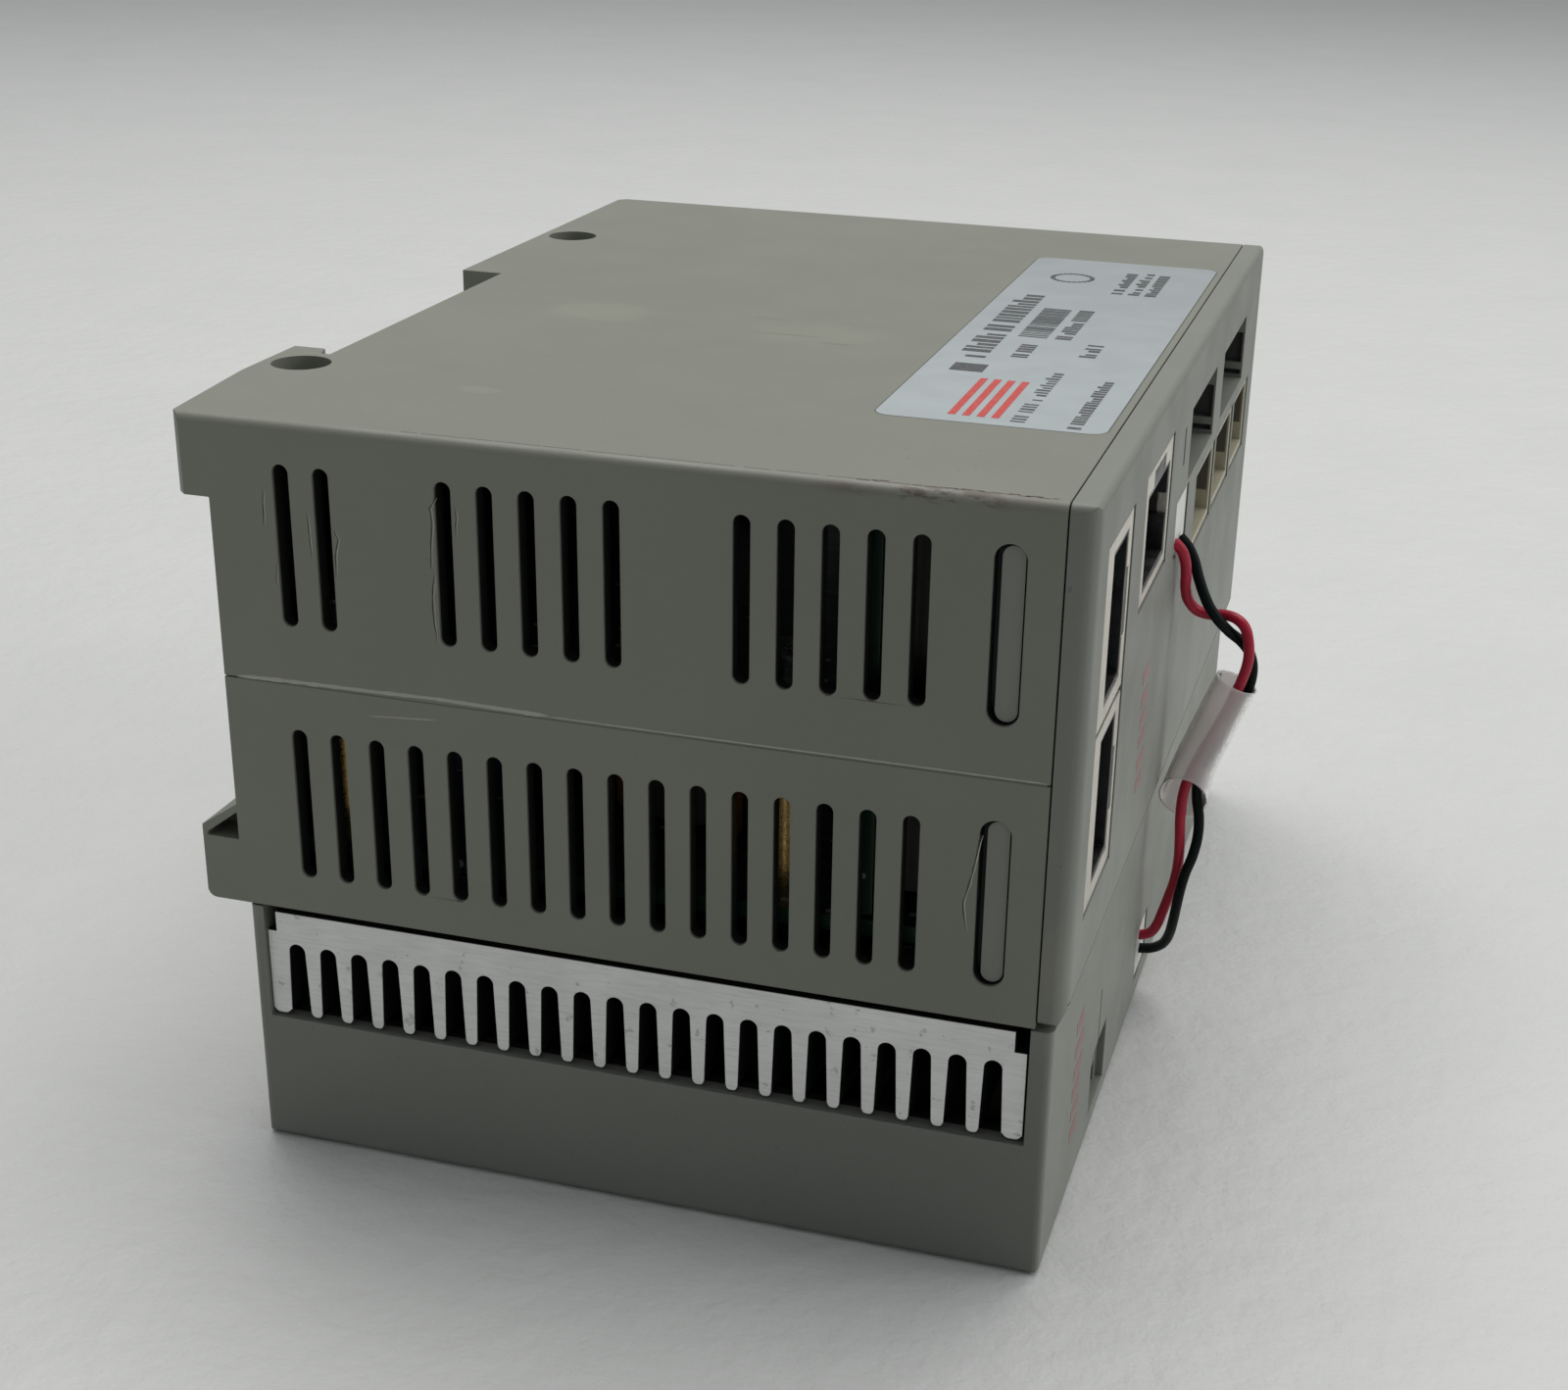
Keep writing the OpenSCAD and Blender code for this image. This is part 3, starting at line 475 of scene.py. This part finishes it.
def capacitor_sleeve():
    """Dark blue shrink sleeve, with the can's bare metal above it."""
    s = Shader("capacitor_sleeve")
    tone = s.mix(s.noise(4, 2), (0.012, 0.02, 0.05), (0.02, 0.034, 0.075))
    bare_top = s.band(s.axis("Z"), 47.6, 48.0)
    tone = s.mix(bare_top, tone, (0.5, 0.5, 0.5))
    s.set(Base_Color=tone, Roughness=0.28, Normal=s.bump(s.noise(2.2, 2, stretch=(1, 1, 5)), 0.05))
    return s.material


def label_film():
    """Silvery white film, a little rippled, with a rubbed surface and painted shade towards the far end."""
    s = Shader("label_film")
    tone = s.mix(s.noise(11, 3), (0.36, 0.40, 0.41), (0.41, 0.45, 0.46))
    dirt = s.band(s.noise(1.4, 4, 0.7), 0.6, 0.74)
    tone = s.mix(s.times(dirt, 0.22), tone, (0.3, 0.31, 0.3))
    # painted shade towards the label's far end
    far_end_shade = s.band(s.axis("Y"), 20, 100, 0.0, 0.36)
    tone = s.mix(far_end_shade, tone, (0.18, 0.19, 0.19))
    ripple = s.noise(7, 2)
    s.set(Base_Color=tone, Normal=s.bump(s.noise(0.5, 2), 0.006, s.bump(ripple, 0.05)), Coat_Weight=0.25)
    s.set(Roughness=s.band(s.noise(4, 3), 0.3, 0.7, 0.3, 0.42), Coat_Roughness=0.25)
    return s.material


def print_ink(name, colour, worn=0.2):
    """Printed ink, broken a little by the surface under it."""
    s = Shader(name)
    fade = s.band(s.noise(0.5, 4, 0.7), 0.5, 0.7)
    tone = s.mix(s.times(fade, worn), colour, (0.4, 0.4, 0.38))
    s.set(Base_Color=tone, Roughness=0.45, Normal=s.bump(s.noise(0.4, 2), 0.008))
    return s.material


def wire_insulation(name, colour, shine):
    """Soft PVC on a thin wire: glossy, with a faint streak along it."""
    s = Shader(name)
    streak = s.noise(0.9, 3, 0.6, stretch=(1, 1, 5))
    tone = s.mix(streak, shade(colour, 0.72), shade(colour, 1.2))
    s.set(Base_Color=tone, Normal=s.bump(s.noise(0.7, 2), 0.02), Subsurface_Weight=0.06)
    s.set(Subsurface_Radius=(0.0006, 0.0003, 0.0003), Subsurface_Scale=1.0)
    s.set(Roughness=s.band(s.noise(1.5, 2), 0.3, 0.7, 0.32, 0.46), Specular_IOR_Level=shine)
    return s.material


def clear_sleeve():
    """Milky shrink tube, folded and scuffed, with the wires showing faintly through."""
    s = Shader("clear_sleeve")
    haze = s.noise(1.6, 4, 0.6, stretch=(1, 1, 3))
    tone = s.mix(haze, (0.84, 0.785, 0.775), (0.93, 0.905, 0.895))
    s.set(Base_Color=tone, Normal=s.bump(s.noise(1.1, 3, stretch=(1, 1, 4)), 0.04))
    s.set(Roughness=s.band(haze, 0.3, 0.7, 0.3, 0.5), Transmission_Weight=0.66, IOR=1.18)
    return s.material


def lamp_plastic(name, colour):
    """Glossy clear plastic, tinted all through."""
    s = Shader(name)
    tone = s.mix(s.noise(1, 2), shade(colour, 0.9), shade(colour, 1.1))
    s.set(Base_Color=tone, Roughness=0.2, Normal=s.bump(s.noise(0.6, 2), 0.01), Coat_Weight=0.5)
    return s.material


MATERIALS = {
    "case_grey": case_material(),
    "panel_grey": panel_material(),
    "heatsink_aluminium": extruded_aluminium(),
    "label_film": label_film(),
    "circuit_board": circuit_board(),
    "black_resin": dark_resin("black_resin", (0.005, 0.005, 0.006)),
    "thermal_silicone": silicone_pad(),
    "ferrite": ferrite(),
    "copper": wound_copper(),
    # the headers get painted shade inside
    "cream_nylon": shade_painted_inside(nylon("cream_nylon", (0.40, 0.37, 0.265), glow=0),
                               LOWER_HEADER_LIP, LOWER_HEADERS_Z),
    "grey_nylon": shade_painted_inside(nylon("grey_nylon", (0.12, 0.145, 0.125), glow=0),
                              UPPER_HEADER_LIP, UPPER_HEADERS_Z),
    "white_nylon": nylon("white_nylon", (0.70, 0.705, 0.675), glow=0.2),
    "ceramic": nylon("ceramic", (0.62, 0.6, 0.53), 0.3),
    "brass": plated_metal("brass", (0.62, 0.42, 0.16)),
    "zinc_steel": plated_metal("zinc_steel", (0.55, 0.56, 0.57)),
    # the jacks get painted shade inside
    "jack_metal": shade_painted_inside(plated_metal("jack_metal", (0.66, 0.63, 0.56), 0.36), JACK_LIP, strength=0.9),
    "gold_contact": plated_metal("gold_contact", (0.8, 0.56, 0.2), 0.22),
    "tinned_pin": plated_metal("tinned_pin", (0.62, 0.61, 0.58)),
    "lamp": lamp_plastic("lamp", (0.22, 0.45, 0.14)),
    "smoked_acrylic": lamp_plastic("smoked_acrylic", (0.03, 0.036, 0.032)),
    "wire_red": wire_insulation("wire_red", (0.38, 0.010, 0.034), 0.3),
    "wire_black": wire_insulation("wire_black", (0.003, 0.0065, 0.006), 0.1),
    "clear_sleeve": clear_sleeve(),
    "capacitor_sleeve": capacitor_sleeve(),
    "fan_black": dark_resin("fan_black", (0.012, 0.012, 0.013), 0.5),
}
RED_INK = print_ink("red_ink", (0.5, 0.045, 0.035))
PALE_RED_INK = print_ink("pale_red_ink", (0.27, 0.125, 0.12), 0.35)
DARK_INK = print_ink("dark_ink", (0.05, 0.055, 0.056))
# flash and burrs, paler as a painted highlight
BURR_HIGHLIGHT = burr_highlight_material()
GRIME = crack_material()
CHIP = print_ink("chipped_plastic", (0.06, 0.036, 0.026), 0.25)


# ---- mesh helpers ----

def finish_piece(name, mesh_maker, material, smooth=True):
    """Turns a bmesh into a piece that rides on the drive."""
    mesh = bpy.data.meshes.new(name)
    mesh_maker.to_mesh(mesh)
    mesh_maker.free()
    for polygon in mesh.polygons:
        polygon.use_smooth = smooth
    mesh.materials.append(material)
    piece = bpy.data.objects.new(name, mesh)
    bpy.context.scene.collection.objects.link(piece)
    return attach(piece, "drive")


def add_block(maker, low, high):
    """A box between two corners of the case's frame."""
    middle = (at(*low) + at(*high)) / 2
    size = at(*high) - at(*low)
    matrix = Matrix.Translation(middle) @ Matrix.Diagonal((*size, 1))
    bmesh.ops.create_cube(maker, size=1, matrix=matrix)


def smooth_route(points, steps=6):
    """Points on a smooth curve through the route's own, in metres in the model's frame."""
    knots = [at(*p) for p in points]
    result = []
    for i in range(len(knots) - 1):
        a, b, c, d = (knots[max(0, min(len(knots) - 1, i + k))] for k in (-1, 0, 1, 2))
        for step in range(steps):
            t = step / steps
            result.append(0.5 * (2 * b + (c - a) * t + (2 * a - 5 * b + 4 * c - d) * t**2
                                 + (3 * b - a - 3 * c + d) * t**3))
    return result + [knots[-1]]


# ---- the fan's wires ----

WIRE_D = 1.1
RED_ROUTE = [(77.15, 48.6, 53.6), (77.9, 48.8, 52.7), (78.3, 49.2, 51.4), (78.4, 49.7, 50),
             (78.4, 50.3, 48.5), (78.7, 50.9, 47), (79.6, 51.5, 45.8), (81, 51.8, 45.4), (82.4, 51.6, 45.6),
             (83.7, 51, 45.5), (84.7, 50.5, 44.7), (85.2, 50.3, 42.8), (85.2, 50.3, 41.2),
             (84.8, 50.3, 39.4), (84, 50.3, 37), (82.9, 50.3, 34.2), (81.7, 50.3, 31.4), (80.6, 50.3, 28.7),
             (80, 50.3, 26.1), (79.9, 50.5, 23.4), (80, 50.9, 20.7), (80, 51.5, 18), (79.7, 52.2, 15.3),
             (79.1, 52.9, 12.7), (78.5, 53.5, 10.4), (78.1, 53.8, 9), (77.4, 54.2, 7.7), (76.2, 54.5, 7)]
BLACK_ROUTE = [(77.15, 52.1, 53.1), (78.1, 51.9, 52.2), (78.9, 51.4, 51), (79.5, 50.8, 49.6),
               (80.2, 50.2, 48.2), (81, 49.9, 46.8), (82, 50, 45.5), (83.1, 50.7, 44.2), (84.2, 51.5, 43.1),
               (85.1, 51.9, 41.9), (85.6, 51.9, 40.3), (85.5, 51.9, 38.4), (84.8, 51.9, 36.1),
               (83.7, 51.9, 33.5), (82.6, 51.9, 31), (81.6, 51.9, 28.7), (81.2, 51.9, 26.9),
               (81.3, 51.8, 25.1), (81.7, 51.5, 23.2), (81.8, 51.1, 21.2), (81.5, 50.7, 19.1),
               (80.9, 50.5, 17), (80.5, 50.7, 14.8), (80.2, 51.3, 12.5), (79.9, 52.2, 10.3),
               (79.5, 53.3, 8.2), (78.8, 54.3, 6.5), (77.6, 55, 5.4), (76.2, 55.3, 5)]
SLEEVE_ROUTE = [(84.3, 51.1, 38.8), (82.9, 51.1, 35.2), (81.6, 51.1, 31.7), (80.6, 51.1, 28.4),
                (79.9, 51.1, 25.4)]


def make_wire(name, route, node, slot):
    """A round wire along a route, in place of its CAD node, and its length."""
    points = smooth_route(route)
    curve = bpy.data.curves.new(name, "CURVE")
    curve.dimensions = "3D"
    curve.bevel_depth = WIRE_D / 2 * MM
    curve.bevel_resolution = 6
    curve.use_fill_caps = True
    spline = curve.splines.new("POLY")
    spline.points.add(len(points) - 1)
    for point, place in zip(spline.points, points):
        point.co = (*place, 1)
    spline.use_smooth = True
    curve.materials.append(MATERIALS[slot])
    piece = bpy.data.objects.new(name, curve)
    bpy.context.scene.collection.objects.link(piece)
    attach(piece, "drive")
    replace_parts(piece, node)
    return piece, sum((b - a).length for a, b in zip(points, points[1:]))


def make_sleeve():
    """A shrink tube round both wires: a thin wall, faint creases and a lower end cut on the slant."""
    wide, thick, wall, sides, slant = 4.2, 4.6, 0.2, 40, 2.8
    points = smooth_route(SLEEVE_ROUTE, 8)
    maker = bmesh.new()
    rings = []
    for i, point in enumerate(points):
        along = i / (len(points) - 1)
        ahead = (points[min(i + 1, len(points) - 1)] - points[max(i - 1, 0)]).normalized()
        up = ahead.cross(Vector((0, 1, 0))).normalized()
        side = up.cross(ahead)
        cut = slant * max(0, along - 0.5) * 2
        for inner in (False, True):
            shrink = (wall if inner else 0) - 0.35 * max(0, along - 0.7) / 0.3
            ring = []
            for k in range(sides):
                angle = math.tau * k / sides
                sine, cosine = math.sin(angle), math.cos(angle)
                crease = 0.97 + 0.05 * noise.noise(Vector((cosine * 1.3, sine * 1.3, i * 0.11)))
                across = (wide / 2 * crease - shrink) * sine
                over = (thick / 2 * crease - shrink) * cosine
                shift = ahead * cut * (side * across).y / (wide / 2)
                ring.append(maker.verts.new(point + (side * across + up * over + shift) * MM))
            rings.append(ring)
    for i in range(len(points) - 1):
        for k in range(sides):
            n = (k + 1) % sides
            outer, after = rings[2 * i], rings[2 * i + 2]
            maker.faces.new((outer[k], outer[n], after[n], after[k]))
            lining, beyond = rings[2 * i + 1], rings[2 * i + 3]
            maker.faces.new((lining[n], lining[k], beyond[k], beyond[n]))
    for outer, lining, flip in ((rings[0], rings[1], 0), (rings[-2], rings[-1], 1)):
        for k in range(sides):
            n = (k + 1) % sides
            quad = (outer[n], outer[k], lining[k], lining[n])
            maker.faces.new(quad if not flip else quad[::-1])
    piece = finish_piece("heat_shrink_sleeve", maker, MATERIALS["clear_sleeve"])
    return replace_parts(piece, "wire_sleeve")


def make_fan_lead():
    """The sleeve, and both wires, each from the upper plug to the lower one."""
    sleeve = make_sleeve()
    for colour, route in (("red", RED_ROUTE), ("black", BLACK_ROUTE)):
        wire, length = make_wire(f"lead_{colour}", route, f"fan_wire_{colour}", f"wire_{colour}")


make_camera()
make_fan_lead()


# ---- carried-over CAD nodes ----

def smooth_group():
    """Geometry nodes that shade every face smooth, so that the bevels catch the light."""
    group = bpy.data.node_groups.new("shade_smooth", "GeometryNodeTree")
    group.interface.new_socket("Geometry", in_out="INPUT", socket_type="NodeSocketGeometry")
    group.interface.new_socket("Geometry", in_out="OUTPUT", socket_type="NodeSocketGeometry")
    start = group.nodes.new("NodeGroupInput")
    smooth = group.nodes.new("GeometryNodeSetShadeSmooth")
    end = group.nodes.new("NodeGroupOutput")
    group.links.new(start.outputs[0], smooth.inputs[0])
    group.links.new(smooth.outputs[0], end.inputs[0])
    return group


SMOOTH = smooth_group()
SAME_POINT = 1e-6                       # metres
FLAT_ANGLE, SHARP_ANGLE = 0.4, 32       # degrees between two faces
EDGE_R = 0.08
OPEN_SHELLS = {"upper_shell", "lower_shell", "base_cover"}
UNROUNDED = {"fan_stator", "fan_rotor", "choke_winding", "jack_contacts", "rating_label"}


def round_edges(piece, open_shell):
    """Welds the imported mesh, joins its flat faces and rounds its sharp edges, all as modifiers.

    The open shells take the full width. The other pieces have holes through their flat faces, so
    those faces are cut into triangles first, and the width shrinks where edges are close.
    """
    weld = piece.modifiers.new("weld", "WELD")
    weld.merge_threshold = SAME_POINT
    flat = piece.modifiers.new("flat", "DECIMATE")
    flat.decimate_type = "DISSOLVE"
    flat.angle_limit = math.radians(FLAT_ANGLE)
    if not open_shell:
        cut = piece.modifiers.new("cut", "TRIANGULATE")
        cut.ngon_method = "CLIP"
    bevel = piece.modifiers.new("bevel", "BEVEL")
    bevel.width = EDGE_R * MM
    bevel.segments = 3
    bevel.use_clamp_overlap = not open_shell
    bevel.limit_method = "ANGLE"
    bevel.angle_limit = math.radians(SHARP_ANGLE)
    bevel.miter_outer = "MITER_ARC"
    shading = piece.modifiers.new("smooth", "NODES")
    shading.node_group = SMOOTH
    normals = piece.modifiers.new("normals", "WEIGHTED_NORMAL")
    normals.keep_sharp = True


for row in frame["record"]["subparts"]:
    node, material = frame["nodes"][row["node"]], MATERIALS[row["material_slot"]]
    for i in range(len(node.material_slots)):
        node.material_slots[i].material = material
    if not node.hide_render and row["node"] not in UNROUNDED:
        round_edges(node, row["node"] in OPEN_SHELLS)


# ---- printing ----

def printed(name, material, blocks):
    """Thin ink on a surface: one piece of separate blocks, each between two corners."""
    maker = bmesh.new()
    for low, high in blocks:
        add_block(maker, low, high)
    finish_piece(name, maker, material, smooth=False)


WORD_END = 0.16                         # the share of strokes that a wider gap follows


def strokes(low, high, seed, stroke, gap):
    """Short bars along Y that stand for a line of print: low and high are (x, y) corners."""
    pick = random.Random(seed)
    blocks, y = [], low[1]
    while y < high[1] - stroke:
        width = stroke * pick.uniform(0.7, 1.3)
        trim = (high[0] - low[0]) * pick.choice((0, 0, 0.3))
        blocks.append(((low[0] + trim, y, TOP_Z), (high[0], min(y + width, high[1]), TOP_Z + INK_T)))
        y += width + (gap * 3 if pick.random() < WORD_END else gap)
    return blocks


def bars(low, high, seed):
    """A bar code of made-up widths between (x, y) corners, its bars side by side along Y."""
    pick = random.Random(seed)
    blocks, y = [], low[1]
    while y < high[1] - 0.5:
        width = pick.choice((0.18, 0.18, 0.36, 0.54))
        blocks.append(((low[0], y, TOP_Z), (high[0], y + width, TOP_Z + INK_T)))
        y += width + pick.choice((0.18, 0.27, 0.4))
    return blocks


def print_label():
    """The label's generic print: red stripes, a block, lines of strokes, a bar code and a ring."""
    red = [((59.6 + 1.3 * k, 22.8, TOP_Z), (60.3 + 1.3 * k, 36.2, TOP_Z + INK_T)) for k in range(4)]
    dark = [((56.0, 38.4, TOP_Z), (59.2, 41.4, TOP_Z + INK_T))]
    dark += strokes((65.3, 22.2), (66.6, 40.5), 1, 0.45, 0.45)
    dark += strokes((70.4, 21.6), (71.6, 39.2), 2, 0.5, 0.3)
    dark += strokes((55.4, 44.0), (58.2, 74.5), 3, 0.9, 0.5)
    dark += strokes((60.4, 45.4), (62.0, 51.6), 4, 0.6, 0.3)
    dark += bars((59.3, 54.2), (62.2, 68.4), 5)
    dark += strokes((63.0, 54.2), (64.6, 68.4), 6, 0.6, 0.3)
    dark += strokes((66.6, 47.6), (68.2, 53.4), 7, 0.7, 0.3)
    for k in range(3):
        dark += strokes((64.6 + 1.8 * k, 77.4), (65.8 + 1.8 * k, 89.6), 8 + k, 0.8, 0.3)
    dark += ring_blocks((59.2, 84), 2.2, 0.5)
    printed("label_print_red", RED_INK, red)
    printed("label_print_dark", DARK_INK, dark)


def ring_blocks(centre, radius, width):
    """A plain ring of small squares."""
    count = 24
    blocks = []
    for k in range(count):
        angle = math.tau * k / count
        x = centre[0] + radius * math.cos(angle)
        y = centre[1] + radius * math.sin(angle)
        blocks.append(((x - width / 2, y - width / 2, TOP_Z), (x + width / 2, y + width / 2, TOP_Z + INK_T)))
    return blocks


def print_panel():
    """A column of faint red dashes up the panel, and another up the tray."""
    dash = 4.2
    for name, face, y, (foot, top), seed in (("panel_dashes", PANEL_X, 31.8, (33.6, 47.6), 21),
                                             ("tray_dashes", TRAY_X, 12.8, (6, 18.6), 22)):
        pick = random.Random(seed)
        blocks, z = [], foot
        while z < top - 0.8:
            tall = pick.uniform(1.1, 1.4)
            start = y + pick.uniform(0, 0.5)
            end = start + dash * pick.uniform(0.8, 1)
            blocks.append(((face, start, z), (face + INK_T, end, z + tall)))
            z += tall + pick.choice((0.8, 0.95, 1.1))
        printed(name, PALE_RED_INK, blocks)


# ---- wear ----

def ridge(maker, points, width, proud=0.02):
    """A low ridge on the near vent wall along (x, z) points, wavering a little."""
    pick = random.Random(len(points) + int(points[0][0] * 7))
    rows = []
    for (xa, za), (xb, zb) in zip(points, points[1:]):
        steps = max(2, int(math.dist((xa, za), (xb, zb)) / 0.5))
        for k in range(steps):
            t = k / steps
            rows.append((xa + (xb - xa) * t + pick.uniform(-0.06, 0.06), za + (zb - za) * t))
    rows.append(points[-1])
    rings, last = [], len(rows) - 1
    for i, (x, z) in enumerate(rows):
        (x_back, z_back), (x_next, z_next) = rows[max(i - 1, 0)], rows[min(i + 1, last)]
        ahead = Vector((x_next - x_back, 0, z_next - z_back)).normalized()
        taper = min(1, 0.3 + i / 3, 0.3 + (last - i) / 3)
        side = Vector((-ahead.z, 0, ahead.x)) * width / 2 * taper
        side *= pick.uniform(0.75, 1.15)
        ring = [(x + side.x, 0.005, z + side.z), (x, -proud, z), (x - side.x, 0.005, z - side.z)]
        rings.append([maker.verts.new(at(*corner)) for corner in ring])
    for before, after in zip(rings, rings[1:]):
        for k in range(3):
            n = (k + 1) % 3
            maker.faces.new((before[k], before[n], after[n], after[k]))
    maker.faces.new(rings[0][::-1])
    maker.faces.new(rings[-1])
    bmesh.ops.recalc_face_normals(maker, faces=maker.faces)


HAIRLINES = [[(5.3, 65.2), (5.1, 62.0)], [(6.1, 58.8), (5.9, 56.8)], [(9.3, 63.6), (9.5, 59.6)],
             [(11.8, 62.4), (12.1, 61.5), (11.8, 59.9), (11.7, 58.0)],
             [(21.4, 66.2), (20.8, 65.2), (21.0, 63.7), (20.8, 62.5), (20.7, 59.9)],
             [(20.9, 59.4), (20.7, 57.3), (20.7, 55.5), (20.9, 53.2)], [(23.2, 65.5), (23.1, 63.0)],
             [(69.2, 42.4), (68.8, 40.2), (68.5, 38.2), (67.9, 36.0), (68.3, 33.4)]]


def add_wear():
    """Hairlines with raised burrs by the slots and flash along the shells' seam, both paler as a painted
    highlight, and a worn top edge.
    """
    burr_highlights, scratches = bmesh.new(), bmesh.new()
    # raised burrs and seam flash, paler as a painted highlight
    for line in HAIRLINES:
        ridge(burr_highlights, [(x + 0.14, z) for x, z in line], 0.12)
        ridge(scratches, line, 0.15, 0.012)
    flash = (((1.4, 0), (5.4, 0.1), (15, 0.2), (20.5, 0.3), (31, 0.1)),
             ((31, 0.05), (45, 0.02), (58, 0.04), (74.5, 0.02)))
    for line, width in zip(flash, (0.42, 0.15)):
        ridge(burr_highlights, [(x, SEAM_Z + 0.1 + rise) for x, rise in line], width)
    ridge(burr_highlights, [(13.9, 45.5), (20.6, 46.0)], 0.14, 0.015)
    finish_piece("wall_burrs_painted_highlight", burr_highlights, BURR_HIGHLIGHT, smooth=False)
    finish_piece("wall_scratches", scratches, GRIME, smooth=False)
    sliver = [((1.3, 0.08, SEAM_Z - 0.14), (74.4, 0.3, SEAM_Z + 0.02))]
    printed("seam_sliver", MATERIALS["case_grey"], sliver)
    pick = random.Random(31)
    sunk, proud = TOP_Z - 0.05, TOP_Z + 0.006
    scratch_x, chips_x = (18.0, 57), (57.5, 73.5)
    blocks, x = [], scratch_x[0]
    while x < scratch_x[1]:
        length = pick.uniform(1.5, 5)
        y = 0.98 + pick.uniform(-0.04, 0.04)
        blocks.append(((x, y, sunk), (x + length, y + 0.07, proud)))
        x += length + pick.uniform(0.1, 0.8)
    printed("top_edge_scratch", GRIME, blocks)
    chips, x = [], chips_x[0]
    while x < chips_x[1]:
        length = pick.uniform(0.25, 1.1)
        y = pick.uniform(0.8, 1.05)
        chips.append(((x, y, sunk), (x + length, y + pick.uniform(0.1, 0.3), proud)))
        x += length * pick.uniform(0.5, 1.2) + (1.6 if pick.random() < 0.12 else 0)
    printed("top_edge_chips", CHIP, chips)


print_label()
print_panel()
add_wear()


# ---- floor and light ----

def make_floor():
    """A plain pale floor, slightly cloudy."""
    s = Shader("pale_floor")
    tone = s.mix(s.noise(30, 4, 0.6), (0.55, 0.558, 0.548), (0.61, 0.615, 0.602))
    s.set(Base_Color=tone, Roughness=0.5, Normal=s.bump(s.noise(5, 4, 0.6), 0.5))
    mesh = bpy.data.meshes.new("floor")
    side = 3.0
    corners = [(-side, -side, 0), (side, -side, 0), (side, side, 0), (-side, side, 0)]
    mesh.from_pydata(corners, [], [(0, 1, 2, 3)])
    mesh.materials.append(s.material)
    floor = bpy.data.objects.new("floor", mesh)
    bpy.context.scene.collection.objects.link(floor)


def area_light(name, place, target, size, power, colour=(1, 1, 1)):
    """A soft light at a place in metres, turned towards a target."""
    data = bpy.data.lights.new(name, "AREA")
    data.shape = "RECTANGLE"
    data.size, data.size_y = size
    data.energy = power
    data.color = colour
    light = bpy.data.objects.new(name, data)
    light.location = place
    light.rotation_euler = (Vector(target) - Vector(place)).to_track_quat("-Z", "Y").to_euler()
    bpy.context.scene.collection.objects.link(light)


def light_studio():
    """Even light from all round, a large light overhead and a smaller one on the panel's side."""
    world = bpy.data.worlds.new("studio")
    world.use_nodes = True
    sky = world.node_tree.nodes["Background"]
    sky.inputs["Color"].default_value = (0.93, 0.96, 1, 1)
    sky.inputs["Strength"].default_value = 0.31
    bpy.context.scene.world = world
    area_light("overhead", (-0.05, 0.32, 1.0), (0, 0, 0.03), (1.1, 0.8), 10.6, (1, 0.99, 0.97))
    area_light("panel_side", (0.8, 0.1, 0.45), (0, 0, 0.04), (0.5, 0.5), 1.8)
    bpy.context.scene.view_settings.view_transform = "Standard"


make_floor()
light_studio()
